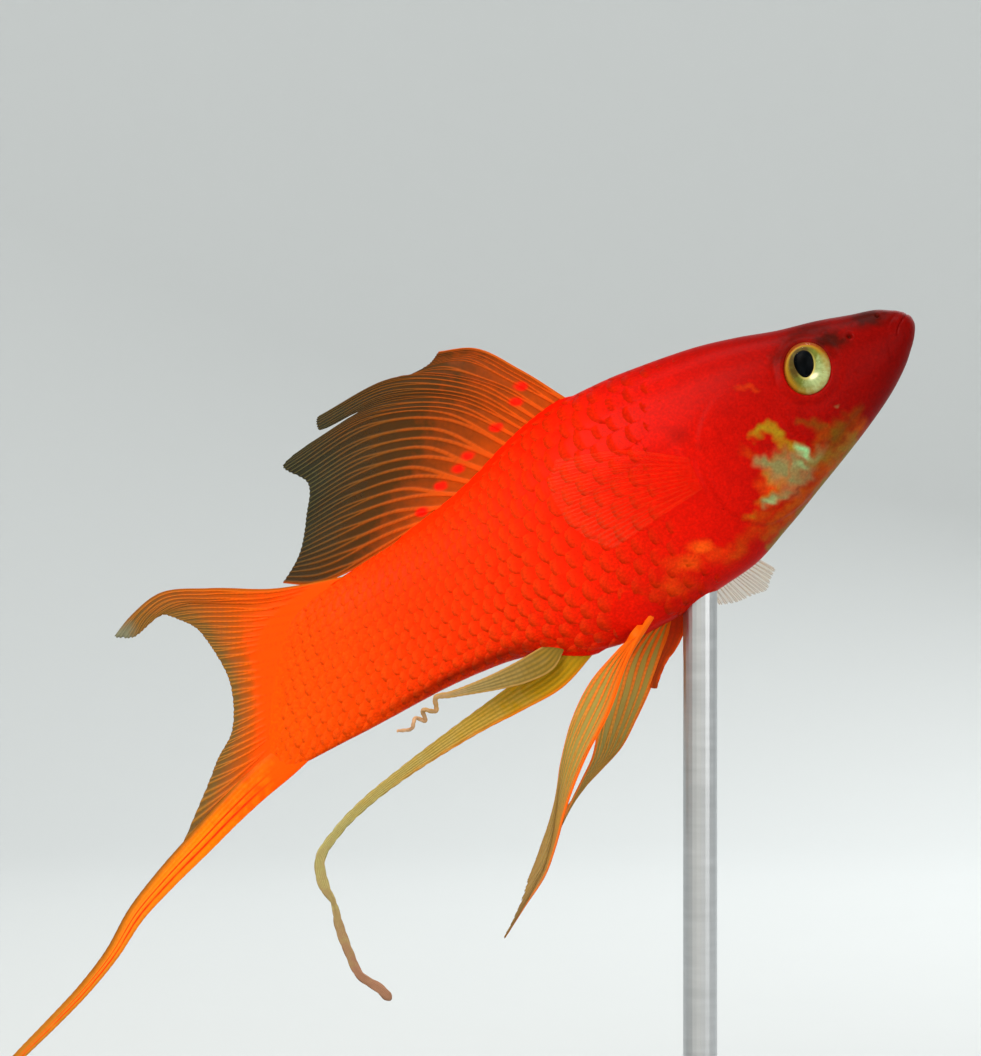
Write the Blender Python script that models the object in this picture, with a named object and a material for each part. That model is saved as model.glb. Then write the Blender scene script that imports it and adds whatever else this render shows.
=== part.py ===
"""A life-size male lyretail swordtail fish, held still on a plain rod and base.

Sizes are millimetres in the fish's own frame: s runs from the snout tail-wards, t towards the back
and y out to its left flank. `place` turns that frame nose-up and sets it over the base.
"""

import math

import bmesh
import bpy
import numpy as np

MM = 0.001

# How the fish hangs over the base
PITCH = math.radians(28.95)
SNOUT_X, SNOUT_Z = 37.1, 85.7

# Body stations: s, back, belly, half width, fullness of the section's corners
BODY = np.array(
    [
        (0.0, 1.15, -0.55, 0.75, 1.0),
        (0.9, 2.05, -1.35, 1.55, 1.0),
        (2.2, 2.85, -2.6, 2.2, 0.95),
        (4.4, 3.6, -4.2, 2.95, 0.86),
        (7.2, 4.55, -5.75, 3.6, 0.8),
        (10.7, 5.5, -7.4, 4.2, 0.8),
        (14.0, 6.65, -8.65, 4.65, 0.84),
        (18.0, 7.75, -10.25, 5.1, 0.9),
        (22.6, 8.6, -11.6, 5.45, 0.94),
        (26.4, 9.05, -12.1, 5.55, 0.96),
        (30.3, 9.2, -12.35, 5.45, 0.98),
        (34.0, 8.75, -12.25, 5.1, 1.0),
        (37.7, 7.95, -11.45, 4.6, 1.0),
        (41.2, 6.95, -9.45, 4.0, 1.0),
        (45.0, 6.15, -8.45, 3.45, 1.0),
        (50.0, 5.55, -8.0, 2.8, 1.0),
        (55.0, 5.3, -8.0, 2.2, 1.0),
        (60.0, 5.0, -7.75, 1.6, 1.0),
        (64.5, 4.7, -7.4, 1.05, 1.0),
    ]
)
GAP = 0.3
HEAD_END, CHEST_END, BELLY_END = 20.6, 33.6, 47.0
TAIL_SLANT = 0.72
TAIL_END = 62.6
SWAY = 1.5

# Head
JAW_LINE = ((-2.0, 1.5), (3.1, 0.95), (4.6, -6.5), (-2.0, -6.5))
EYE_S, EYE_T, EYE_Y = 9.95, 1.25, 3.3
EYE_RADIUS, EYE_DEPTH = 2.42, 1.4
GILL_MIDDLE = (17.6, -3.4)
GILL_RIM = (
    (16.2, 2.9), (19.2, 2.3), (21.4, 0.5), (22.5, -2.0), (22.6, -4.6), (21.7, -7.2),
    (19.2, -8.7), (16.2, -7.3), (13.8, -5.2), (13.0, -2.4), (13.8, 0.8),
)
GILL_THICK = 0.9

# Fins: guide rays from root to tip, front ray first
DORSAL_RAYS = (
    ((29.9, 9.6), (32.0, 13.4), (34.6, 17.0), (37.8, 18.2)),
    ((31.3, 9.5), (33.6, 13.2), (36.0, 16.6), (39.0, 18.0)),
    ((33.2, 9.2), (36.2, 14.0), (41.8, 17.7), (50.3, 18.1)),
    ((35.4, 8.8), (38.6, 13.6), (45.0, 16.6), (54.6, 15.8)),
    ((38.0, 8.2), (41.2, 12.3), (46.8, 13.6), (53.6, 13.2)),
    ((40.8, 7.4), (44.2, 10.2), (49.4, 10.6), (55.0, 10.3)),
    ((43.8, 6.7), (47.2, 7.9), (51.8, 8.0), (56.6, 7.8)),
    ((47.0, 6.3), (50.6, 6.25), (54.6, 6.1), (58.4, 6.3)),
)
TAIL_UPPER_RAYS = (
    ((56.4, 5.7), (60.4, 7.2), (65.2, 9.6), (69.6, 11.35), (74.9, 9.55)),
    ((58.4, 5.4), (61.6, 6.6), (65.8, 8.7), (69.3, 10.2), (73.9, 9.1)),
    ((58.95, 4.4), (61.6, 5.0), (64.6, 6.2), (66.8, 7.4), (68.8, 8.3)),
    ((60.2, 2.6), (62.4, 2.9), (64.6, 3.7), (66.4, 4.7), (67.8, 5.4)),
    ((61.6, 0.65), (63.2, 1.0), (65.0, 1.5), (66.6, 2.2), (67.8, 2.8)),
)
TAIL_LOWER_RAYS = (
    ((61.85, 0.25), (63.8, 0.65), (65.8, 1.3), (67.8, 2.1)),
    ((62.85, -1.1), (64.5, -0.9), (66.2, -0.5), (67.9, 0.1)),
    ((63.85, -2.5), (65.4, -2.4), (67.0, -2.0), (68.6, -1.5)),
    ((64.75, -3.75), (66.8, -3.8), (69.0, -3.5), (71.2, -3.1)),
    ((65.3, -4.5), (67.8, -4.75), (70.6, -4.6), (73.5, -4.2)),
    ((65.6, -4.9), (68.4, -5.35), (72.2, -6.05), (76.2, -7.4)),
)
SWORD_LINE = (
    (66.95, -6.75), (70.1, -7.4), (73.0, -8.2), (76.5, -9.3), (80.9, -10.7), (84.3, -12.0),
    (88.0, -14.1), (91.6, -15.6), (95.4, -16.8), (99.2, -17.9), (103.4, -19.3), (107.2, -21.0),
)
SWORD_WIDTHS = (2.7, 2.8, 2.55, 2.3, 2.0, 1.65, 1.25, 1.1, 1.0, 0.85, 0.7, 0.55)
SWORD_SPLIT, SWORD_LENGTH = 0.46, 43.0
ANAL_RAYS = (
    ((37.9, -12.1), (40.8, -13.1), (45.2, -13.2), (49.8, -12.9), (54.3, -12.95)),
    ((39.4, -11.6), (42.2, -12.1), (46.0, -12.15), (50.0, -12.1), (54.3, -12.3)),
    ((40.8, -10.7), (43.4, -11.0), (46.8, -11.1), (50.2, -11.3), (54.3, -11.65)),
)
ANAL_LINE = (
    (54.6, -12.35), (58.5, -12.7), (62.2, -13.3), (65.6, -14.3), (68.2, -15.8), (68.9, -17.8),
    (68.9, -20.4), (69.8, -24.0), (69.9, -26.2), (68.9, -28.2), (68.6, -29.4),
)
ANAL_WIDTHS = (1.3, 1.15, 0.95, 0.75, 0.7, 0.85, 0.95, 0.85, 0.85, 1.0, 0.7)
ANAL_SPLIT, ANAL_LENGTH = 0.45, 29.3
ANAL_BRANCH = (
    (42.7, -10.2), (45.6, -9.4), (49.4, -8.95), (52.3, -8.5), (53.4, -9.3), (54.3, -8.9),
    (55.2, -9.6), (56.9, -9.3),
)
ANAL_BRANCH_WIDTHS = (1.5, 1.6, 1.1, 0.65, 0.6, 0.6, 0.6, 0.5)
PELVIC_RIGHT_RAYS = (
    ((33.1, -11.5), (35.9, -13.3), (39.7, -16.7), (45.1, -21.1), (51.2, -25.8), (57.9, -30.0)),
    ((34.0, -11.6), (36.7, -13.0), (40.4, -15.9), (45.6, -20.1), (50.6, -24.4), (55.2, -28.0)),
    ((35.0, -11.8), (37.6, -12.9), (41.2, -15.0), (44.9, -18.2), (48.4, -21.6), (51.0, -24.4)),
)
PELVIC_LEFT_RAYS = (
    ((31.0, -12.3), (33.4, -14.2), (36.6, -17.1), (40.4, -20.0), (45.1, -22.2), (51.5, -25.7)),
    ((32.0, -12.3), (34.6, -14.0), (37.8, -16.3), (41.4, -18.9), (45.6, -21.4), (50.0, -24.2)),
    ((33.0, -12.3), (35.8, -13.8), (39.0, -15.7), (42.2, -17.9), (45.4, -20.3), (47.8, -22.6)),
)
PECTORAL_RIGHT_RAYS = (
    ((23.5, -0.2), (27.8, 2.8), (33.6, 5.0)),
    ((23.7, -1.0), (28.8, 1.6), (35.0, 3.4)),
    ((23.8, -1.9), (29.4, 0.0), (35.6, 1.2)),
    ((23.9, -2.7), (29.2, -1.8), (34.9, -1.4)),
    ((23.9, -3.5), (28.4, -3.8), (32.8, -4.2)),
)
PECTORAL_LEFT_RAYS = (
    ((23.5, -0.3), (24.2, -6.2), (20.3, -13.2)),
    ((23.7, -1.0), (25.0, -7.0), (22.0, -14.8)),
    ((23.8, -1.9), (25.8, -7.2), (24.5, -14.6)),
    ((23.9, -2.7), (26.6, -7.0), (27.2, -12.8)),
    ((23.9, -3.5), (27.0, -6.6), (28.8, -10.6)),
)
FIN_ROOT, FIN_TIP, RAY_RIDGE = 0.95, 0.5, 0.14

# Display stand
BASE_LONG, BASE_WIDE, BASE_HIGH, BASE_CORNER = 100.0, 46.0, 6.0, 7.0
ROD_X, ROD_RADIUS, ROD_SEAT, ROD_TOP = 18.4, 1.5, 3.0, 63.6


# ---------------------------------------------------------------- measures along the fish


def smooth(stops, values, at):
    """Values between stops on a rounded curve that never passes beyond its stops."""
    stops, values, at = (np.asarray(a, float) for a in (stops, values, at))
    step = np.diff(stops)
    rise = (np.diff(values, axis=0).T / step).T
    slope = np.zeros_like(values)
    agree = rise[1:] * rise[:-1] > 0
    mean = 2 * rise[1:] * rise[:-1] / np.where(agree, rise[1:] + rise[:-1], 1)
    slope[1:-1] = np.where(agree, mean, 0)
    slope[0], slope[-1] = rise[0], rise[-1]
    k = np.clip(np.searchsorted(stops, at) - 1, 0, len(step) - 1)
    u = (at - stops[k]) / step[k]
    shape = (slice(None),) + (None,) * (values.ndim - 1)
    u, h = u[shape], step[k][shape]
    return (
        values[k] * (1 + 2 * u) * (1 - u) ** 2
        + slope[k] * h * u * (1 - u) ** 2
        + values[k + 1] * u * u * (3 - 2 * u)
        + slope[k + 1] * h * u * u * (u - 1)
    )


def flow(points, at):
    """Points along an open curve through the given ones, `at` from 0 to 1 of its length."""
    points = np.asarray(points, float)
    run = np.r_[0, np.cumsum(np.linalg.norm(np.diff(points, axis=0), axis=1))]
    run /= run[-1]
    tangent = np.gradient(points, run, axis=0)
    k = np.clip(np.searchsorted(run, at) - 1, 0, len(run) - 2)
    h = (run[k + 1] - run[k])[:, None]
    u = ((at - run[k]) / h[:, 0])[:, None]
    return (
        points[k] * (1 + 2 * u) * (1 - u) ** 2
        + tangent[k] * h * u * (1 - u) ** 2
        + points[k + 1] * u * u * (3 - 2 * u)
        + tangent[k + 1] * h * u * u * (u - 1)
    )


def station(s):
    """Back, belly, half width and fullness of the body at s."""
    return smooth(BODY[:, 0], BODY[:, 1:], np.atleast_1d(s)).T


def sway(s):
    """How far the body's middle line swings sideways at s, as in slow swimming."""
    u = np.clip((np.asarray(s, float) - 24.0) / 50.0, 0, 1.3)
    return SWAY * (np.sin(u * 3.6) * u)


def flank(s, t):
    """Half width of the body at s and height t."""
    back, belly, half, full = station(s)
    lift = np.clip((t - (back + belly) / 2) / ((back - belly) / 2), -1, 1)
    return half * np.sqrt(1 - lift * lift) ** full


def ring(s, count, slant):
    """One closed section of the body, leaning tail-wards at the belly by `slant`."""
    turn = np.linspace(0, 2 * math.pi, count, endpoint=False)
    back, belly, half, full = (float(v[0]) for v in station(s))
    middle, high = (back + belly) / 2, (back - belly) / 2
    t = middle + high * np.sin(turn)
    y = half * np.sign(np.cos(turn)) * np.abs(np.cos(turn)) ** full
    lean = s - slant * (t - middle)
    return np.stack([lean, y + sway(lean), t], axis=1)


def place(points):
    """Fish frame in millimetres to the stand's frame in metres."""
    s, y, t = np.asarray(points, float).T
    x = SNOUT_X - s * math.cos(PITCH) - t * math.sin(PITCH)
    z = SNOUT_Z - s * math.sin(PITCH) + t * math.cos(PITCH)
    return np.stack([x, y, z], axis=1) * MM


# ---------------------------------------------------------------- solids


def make(name, points, faces, smooth_angle=40.0, placed=False):
    """A closed mesh object from points and faces."""
    mesh = bpy.data.meshes.new(name)
    mesh.from_pydata((points if placed else place(points)).tolist(), [], [list(f) for f in faces])
    work = bmesh.new()
    work.from_mesh(mesh)
    bmesh.ops.remove_doubles(work, verts=work.verts, dist=1e-7)
    bmesh.ops.recalc_face_normals(work, faces=work.faces)
    if work.calc_volume(signed=True) < 0:
        bmesh.ops.reverse_faces(work, faces=work.faces)
    work.to_mesh(mesh)
    work.free()
    mesh.shade_smooth()
    mesh.set_sharp_from_angle(angle=math.radians(smooth_angle))
    thing = bpy.data.objects.new(name, mesh)
    bpy.context.collection.objects.link(thing)
    return thing


def tube(name, rings):
    """Rings of equal count joined into a solid, closed at both ends with a fan."""
    rings = np.asarray(rings)
    many, count = rings.shape[:2]
    i, j = np.meshgrid(np.arange(many - 1), np.arange(count), indexing="ij")
    k = (j + 1) % count
    walls = np.stack([i * count + j, i * count + k, (i + 1) * count + k, (i + 1) * count + j], -1)
    first, last = many * count, many * count + 1
    j = np.arange(count)
    front = np.stack([np.full(count, first), (j + 1) % count, j], 1)
    back = np.stack([np.full(count, last), first - count + j, first - count + (j + 1) % count], 1)
    points = np.vstack([rings.reshape(-1, 3), rings[0].mean(0), rings[-1].mean(0)])
    faces = [*walls.reshape(-1, 4).tolist(), *front.tolist(), *back.tolist()]
    return make(name, points, faces)


def sheet(name, middle, thick):
    """A grid of mid-points given a thickness along its own normals, closed round its rim."""
    along = np.gradient(middle, axis=0)
    across = np.gradient(middle, axis=1)
    normal = np.cross(along, across)
    normal /= np.linalg.norm(normal, axis=2, keepdims=True)
    rows, columns = middle.shape[:2]
    half = normal * thick[..., None] / 2
    points = np.vstack([(middle + half).reshape(-1, 3), (middle - half).reshape(-1, 3)])
    under = rows * columns
    i, j = np.meshgrid(np.arange(rows - 1), np.arange(columns - 1), indexing="ij")
    a = (i * columns + j).ravel()
    top = np.stack([a, a + 1, a + columns + 1, a + columns], 1)
    rim = np.r_[
        np.arange(columns - 1),
        np.arange(rows - 1) * columns + columns - 1,
        np.arange(under - 1, under - columns, -1),
        np.arange(rows - 1, 0, -1) * columns,
    ]
    after = np.roll(rim, -1)
    edge = np.stack([rim, rim + under, after + under, after], 1)
    faces = [*top.tolist(), *(top[:, ::-1] + under).tolist(), *edge.tolist()]
    return make(name, points, faces)


def cut(thing, cutter, operation="DIFFERENCE", keep=False):
    """Cut one solid with another and apply it at once."""
    step = thing.modifiers.new("cut", "BOOLEAN")
    step.operation, step.solver, step.object = operation, "EXACT", cutter
    bpy.context.view_layer.update()
    done = bpy.data.meshes.new_from_object(thing.evaluated_get(bpy.context.evaluated_depsgraph_get()))
    thing.modifiers.clear()
    old, thing.data = thing.data, done
    bpy.data.meshes.remove(old)
    if not keep:
        bpy.data.objects.remove(cutter)


def finish(thing, colour, roughness, metallic=0.0, slot=None):
    """Give a solid its own plain material."""
    material = bpy.data.materials.new(slot or thing.name + "_finish")
    material.use_nodes = True
    surface = material.node_tree.nodes["Principled BSDF"]
    surface.inputs["Base Color"].default_value = (*colour, 1)
    surface.inputs["Roughness"].default_value = roughness
    surface.inputs["Metallic"].default_value = metallic
    thing.data.materials.clear()
    thing.data.materials.append(material)


# ---------------------------------------------------------------- parts of the fish


def body_length(name, start, end, slants=(0.0, 0.0), rings=9, count=26):
    """One length of the body between two sections."""
    stops = np.linspace(start, end, rings)
    leans = np.linspace(*slants, rings)
    return tube(name, [ring(s, count, lean) for s, lean in zip(stops, leans)])


def egg(name, middle, radii, steps=10):
    """An ellipsoid as rings from pole to pole along y."""
    polar = np.linspace(0.02, math.pi - 0.02, steps // 2 + 3)
    turn = np.linspace(0, 2 * math.pi, steps + 6, endpoint=False)
    rings = [
        np.stack(
            [
                middle[0] + radii[0] * math.sin(p) * np.cos(turn),
                np.full(turn.size, middle[1] + radii[1] * math.cos(p)),
                middle[2] + radii[2] * math.sin(p) * np.sin(turn),
            ],
            axis=1,
        )
        for p in polar
    ]
    return tube(name, rings)


def prism(name, outline, low, high):
    """A flat outline in s and t drawn out across the fish."""
    outline = np.asarray(outline, float)
    sides = [np.insert(outline, 1, y, axis=1) for y in (low, high)]
    count = len(outline)
    walls = [(i, (i + 1) % count, count + (i + 1) % count, count + i) for i in range(count)]
    faces = [*walls, tuple(range(count)), tuple(range(2 * count - 1, count - 1, -1))]
    return make(name, np.vstack(sides), faces)


def gill_plate(name, side, grow, inner, outer, turns=22, hoops=3):
    """A patch of the cheek's own surface: the gill cover, or the larger pocket it sits in."""
    middle = np.asarray(GILL_MIDDLE)
    rim = flow([*GILL_RIM, GILL_RIM[0]], np.linspace(0, 1, turns, endpoint=False)) - middle
    rim *= 1 + grow / np.linalg.norm(rim, axis=1, keepdims=True)
    layers = []
    for skin_depth, reach in [(outer, r) for r in np.linspace(0.08, 1, hoops)] + [
        (inner, r) for r in np.linspace(1, 0.08, hoops)
    ]:
        s, t = (middle + rim * reach).T
        y = side * (flank(s, t) + skin_depth)
        layers.append(np.stack([s, y, t], axis=1))
    return tube(name, layers)


def fan(name, rays, y_root, y_tip, columns, rows, ray_count, notch=0.0, thin=FIN_TIP, flare=None):
    """A fin: a thick root thinning to its free edge, with a ridge along every ray."""
    rays = np.asarray(rays, float)
    along = np.linspace(0, 1, rows)
    guide = np.stack([flow(r, along) for r in rays])
    across = np.linspace(0, 1, columns)
    order = np.linspace(0, 1, len(rays))
    spread = smooth(order, guide, across)
    ridge = np.cos(across * ray_count * 2 * math.pi) * 0.5 + 0.5
    ends = 1 - notch * (1 - ridge)
    for j in range(columns):
        spread[j] = flow(spread[j], along * ends[j])
    u = along[None, :] * np.ones((columns, 1))
    y = y_root + (y_tip - y_root) * u ** 1.3
    if flare:
        y = y + flare(u, across[:, None])
    s, t = spread[..., 0], spread[..., 1]
    middle = np.stack([s, y + sway(s), t], axis=2)
    body = FIN_ROOT + (thin - FIN_ROOT) * np.clip(u * 1.5, 0, 1)
    thick = body + RAY_RIDGE * ridge[:, None] * (1 - 0.5 * u)
    return sheet(name, middle, thick)


def strand(name, line, widths, part, drift, steps=14, root=0.9, tip=0.52, count=8, lean=0.0):
    """A long streamer, oval in section, over one part of its line; its start may lean."""
    at = np.linspace(*part, steps)
    flat = flow(line, at)
    width = smooth(np.linspace(0, 1, len(widths)), widths, at) / 2
    lead = np.gradient(flat, axis=0)
    lead /= np.linalg.norm(lead, axis=1, keepdims=True)
    side = np.stack([lead[:, 1], -lead[:, 0]], axis=1)
    turn = np.linspace(0, 2 * math.pi, count, endpoint=False)
    thick = (root + (tip - root) * np.clip(at * 1.6, 0, 1)) / 2
    ends = np.ones(steps)
    if part[1] >= 1:
        ends[-1] = 0.6
    rings = []
    for i in range(steps):
        out = flat[i] + side[i] * (width[i] * ends[i] * np.cos(turn))[:, None]
        out[:, 0] -= lean * max(0, 1 - i / 4) * (out[:, 1] - flat[i, 1])
        y = thick[i] * ends[i] * np.sin(turn) + drift(at[i]) + sway(flat[i, 0])
        rings.append(np.stack([out[:, 0], y, out[:, 1]], axis=1))
    return tube(name, rings)


RED, DEEP_RED, ORANGE = (0.75, 0.03, 0.005), (0.4, 0.01, 0.005), (0.8, 0.16, 0.01)
OLIVE, KHAKI, CLEAR = (0.4, 0.2, 0.04), (0.5, 0.4, 0.2), (0.75, 0.6, 0.45)


def build_head():
    """The head with its jaw, eyes and gill covers, each in its own room."""
    head = body_length("head", 0.0, HEAD_END, rings=14, count=26)
    prism_jaw = prism("jaw_block", JAW_LINE, -6, 6)
    jaw = body_length("lower_jaw", 0.0, 7.0, rings=8, count=26)
    cut(jaw, prism_jaw, "INTERSECT")
    wide = np.array(JAW_LINE) + [(0, GAP), (GAP, GAP), (GAP, 0), (0, 0)]
    cut(head, prism("jaw_room", wide, -7, 7))
    for side, word in ((-1, "right"), (1, "left")):
        eye = egg("eye_" + word, (EYE_S, side * EYE_Y, EYE_T), (EYE_RADIUS, EYE_DEPTH, EYE_RADIUS))
        finish(eye, (0.5, 0.55, 0.4), 0.15)
        room = [r + GAP for r in (EYE_RADIUS, EYE_DEPTH, EYE_RADIUS)]
        cut(head, egg("socket", (EYE_S, side * EYE_Y, EYE_T), room))
        plate = gill_plate("gill_cover_" + word, side, 0.0, -GILL_THICK, 0.0)
        finish(plate, RED, 0.4)
        cut(head, gill_plate("gill_room", side, 1.3 * GAP, -GILL_THICK - GAP, 1.0))
    finish(head, DEEP_RED, 0.4)
    finish(jaw, DEEP_RED, 0.4)


def build_body():
    """The three lengths of the body behind the head."""
    chest = body_length("trunk_front", HEAD_END + GAP, CHEST_END, rings=6, count=26)
    for side in (-1, 1):
        cut(chest, gill_plate("gill_room", side, 1.3 * GAP, -GILL_THICK - GAP, 1.0))
    socket = rod("rod_room", ROD_TOP - 10, ROD_TOP + GAP, ROD_RADIUS + GAP)
    cut(chest, socket)
    finish(chest, RED, 0.4)
    belly = body_length("trunk_rear", CHEST_END + GAP, BELLY_END, (0.0, 0.25), rings=7)
    finish(belly, RED, 0.4)
    slants = (0.25, TAIL_SLANT)
    tail = body_length("tail_stalk", BELLY_END + GAP, TAIL_END, slants, rings=8, count=24)
    finish(tail, RED, 0.4)


def sail_wave(u, v):
    """Side wave of the dorsal fin, growing towards its free edge."""
    return 0.5 * np.sin(v * 7.0 + 1.0) * u * u


def tail_wave(u, v):
    """Side wave of the tail fin."""
    return 0.3 * np.sin(v * 5.0) * u


def sword_drift(a):
    """How far the sword drifts to the right flank at share a of its length."""
    return -0.9 * a * a


def streamer_drift(a):
    """How far the anal streamer drifts to the right flank."""
    return -0.6 * math.sin(a * 2.6) - 1.4 * a * a


def branch_drift(a):
    """How far the anal fin's short branch stands aside, its end curled."""
    return -1.4 - 0.9 * min(a * 3.0, 1.0) + 0.35 * math.sin(a * 26.0) * max(a - 0.6, 0)


def bow(reach):
    """A fin bowed sideways between root and tip, most at its front ray."""
    return lambda u, v: reach * np.sin(u * math.pi) * (1 - v)


def cup(reach):
    """A fin cupped sideways between its first and last ray."""
    return lambda u, v: reach * np.sin(v * math.pi) * u


def build_fins():
    """The fins on the fish's middle line, with the sword and the streamers."""
    dorsal = fan("dorsal_fin", DORSAL_RAYS, 0.0, 0.6, 40, 8, 13, notch=0.05, flare=sail_wave)
    finish(dorsal, OLIVE, 0.5)
    upper = fan("tail_fin_upper", TAIL_UPPER_RAYS, 0.0, 0.7, 19, 8, 6, notch=0.05, flare=tail_wave)
    lower = fan("tail_fin_lower", TAIL_LOWER_RAYS, 0.0, 0.2, 19, 6, 6, notch=0.08, flare=tail_wave)
    finish(upper, ORANGE, 0.5)
    finish(lower, ORANGE, 0.5)
    nick = 0.62 * GAP / SWORD_LENGTH
    for name, part in (
        ("sword_root", (0.0, SWORD_SPLIT - nick)),
        ("sword_tip", (SWORD_SPLIT + nick, 1.0)),
    ):
        lean = TAIL_SLANT if part[0] == 0 else 0.0
        blade = strand(name, SWORD_LINE, SWORD_WIDTHS, part, sword_drift, 12, 1.1, 0.6, lean=lean)
        finish(blade, ORANGE, 0.45)
    nick = 0.65 * GAP / ANAL_LENGTH
    anal = fan("anal_fin", ANAL_RAYS, 0.0, streamer_drift(0.0), 13, 11, 3)
    finish(anal, KHAKI, 0.5)
    for name, part in (
        ("anal_streamer_front", (0.0, ANAL_SPLIT - nick)),
        ("anal_streamer_end", (ANAL_SPLIT + nick, 1.0)),
    ):
        trail = strand(name, ANAL_LINE, ANAL_WIDTHS, part, streamer_drift, steps=15, root=0.6)
        finish(trail, KHAKI, 0.5)
    widths = ANAL_BRANCH_WIDTHS
    branch = strand("anal_branch", ANAL_BRANCH, widths, (0.0, 1.0), branch_drift, 22, count=6)
    finish(branch, KHAKI, 0.5)


def build_paired_fins():
    """The pelvic and pectoral fins of both flanks."""
    right = fan("pelvic_fin_right", PELVIC_RIGHT_RAYS, -2.8, -2.2, 9, 11, 2, flare=bow(-0.9))
    finish(right, ORANGE, 0.5)
    left = fan("pelvic_fin_left", PELVIC_LEFT_RAYS, 1.7, 1.4, 9, 11, 2, flare=bow(1.2))
    finish(left, KHAKI, 0.5)
    right = fan("pectoral_fin_right", PECTORAL_RIGHT_RAYS, -6.35, -8.6, 13, 6, 6, 0.04, flare=cup(-0.5))
    finish(right, CLEAR, 0.4)
    left = fan("pectoral_fin_left", PECTORAL_LEFT_RAYS, 6.35, 9.8, 13, 6, 6, 0.04, flare=cup(0.5))
    finish(left, CLEAR, 0.4)


# ---------------------------------------------------------------- stand


def rod(name, low, high, radius, count=24):
    """An upright round rod."""
    turn = np.linspace(0, 2 * math.pi, count, endpoint=False)
    flat = np.stack([ROD_X + radius * np.cos(turn), radius * np.sin(turn)], axis=1)
    points = np.vstack([np.insert(flat, 2, z, axis=1) for z in (low, high)]) * MM
    walls = [(i, (i + 1) % count, count + (i + 1) % count, count + i) for i in range(count)]
    faces = [*walls, tuple(range(count))[::-1], tuple(range(count, 2 * count))]
    return make(name, points, faces, placed=True)


def build_stand():
    """The board with its bevelled edge, and the rod in its seat."""
    turn = np.radians(np.linspace(0, 90, 7))
    arc = BASE_CORNER * np.stack([np.cos(turn), np.sin(turn)], axis=1)
    inner = np.array([BASE_LONG / 2 - BASE_CORNER, BASE_WIDE / 2 - BASE_CORNER])
    quarter = arc + inner
    flip = quarter[::-1]
    outline = np.vstack([quarter, flip * (-1, 1), -quarter, flip * (1, -1)])
    count = len(outline)
    points = np.vstack([np.insert(outline, 2, z, axis=1) for z in (0, BASE_HIGH)]) * MM
    walls = [(i, (i + 1) % count, count + (i + 1) % count, count + i) for i in range(count)]
    faces = [*walls, tuple(range(count))[::-1], tuple(range(count, 2 * count))]
    base = make("stand_base", points, faces, placed=True)
    edge = base.modifiers.new("edge", "BEVEL")
    edge.width, edge.segments, edge.limit_method = 0.8 * MM, 2, "ANGLE"
    edge.angle_limit = math.radians(60)
    cut(base, rod("seat", ROD_SEAT, BASE_HIGH + 2, ROD_RADIUS + GAP))
    finish(base, (0.02, 0.02, 0.022), 0.5)
    post = rod("stand_rod", ROD_SEAT + GAP, ROD_TOP, ROD_RADIUS)
    finish(post, (0.55, 0.56, 0.58), 0.3, 1.0)


def main():
    """Clear the scene and build every solid."""
    for thing in list(bpy.data.objects):
        bpy.data.objects.remove(thing)
    build_head()
    build_body()
    build_fins()
    build_paired_fins()
    build_stand()


main()
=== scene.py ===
"""Looks of a life-size male lyretail swordtail, held nose-up on a plain stand.

The fish is worked out in its own frame, in millimetres: s runs from the snout tail-wards, y out to
the left flank and t towards the back. FishFrame.place sets that frame over the stand's base.
"""

from __future__ import annotations

import logging
import math
from dataclasses import dataclass, field
from enum import Enum
from typing import Any, Callable

import bpy
import numpy as np
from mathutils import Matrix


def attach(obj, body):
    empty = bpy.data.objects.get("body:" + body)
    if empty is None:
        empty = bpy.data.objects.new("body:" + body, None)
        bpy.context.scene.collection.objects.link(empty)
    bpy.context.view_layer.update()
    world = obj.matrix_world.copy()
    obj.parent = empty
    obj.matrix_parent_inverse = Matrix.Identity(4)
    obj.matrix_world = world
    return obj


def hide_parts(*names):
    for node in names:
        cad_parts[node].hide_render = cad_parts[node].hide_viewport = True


Array = np.ndarray
Piece = bpy.types.Object
Tree = bpy.types.NodeTree
Material = bpy.types.Material
Pair = tuple[float, float]
Triple = tuple[float, float, float]
Line = tuple[tuple[float, ...], ...]
Colours = tuple[str, str, str]
Names = tuple[str, ...]

MM = 0.001
SEED = 11
BODY = "root"
PIECES_PER_POINT = 6  # how finely a line through points is drawn to measure distances to it

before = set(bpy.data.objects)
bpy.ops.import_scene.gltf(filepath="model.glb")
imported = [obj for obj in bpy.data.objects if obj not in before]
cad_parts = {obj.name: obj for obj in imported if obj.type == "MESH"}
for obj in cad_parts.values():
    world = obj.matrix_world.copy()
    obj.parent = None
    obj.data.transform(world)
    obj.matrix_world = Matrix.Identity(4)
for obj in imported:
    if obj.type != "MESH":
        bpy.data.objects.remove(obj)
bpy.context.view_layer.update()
log = logging.getLogger("swordtail")


class Side(Enum):
    """A flank of the fish, by the sign of its y."""

    RIGHT = -1
    LEFT = 1


# ---- curves and fields


def smoothstep(low: float, high: float, at: Array) -> Array:
    """Rise from 0 to 1 between two values, level at both ends: u * u * (3 - 2 * u).

    Args:
        low: Where the rise starts; it may lie above high for a fall.
        high: Where it ends.
        at: Values to read it at.

    Returns:
        The rise, of the shape of at.
    """
    u = np.clip((at - low) / (high - low), 0, 1)
    return u * u * (3 - 2 * u)


def bell(distance: Array, width: float) -> Array:
    """A bump that is 1 at distance 0 and falls as exp(-(distance / width) squared)."""
    return np.exp(-((distance / width) ** 2))


def turned(a: Array, b: Array, angle: float) -> tuple[Array, Array]:
    """Parts of a vector along a line at an angle and across it: a cos + b sin, b cos - a sin."""
    return a * math.cos(angle) + b * math.sin(angle), b * math.cos(angle) - a * math.sin(angle)


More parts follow.
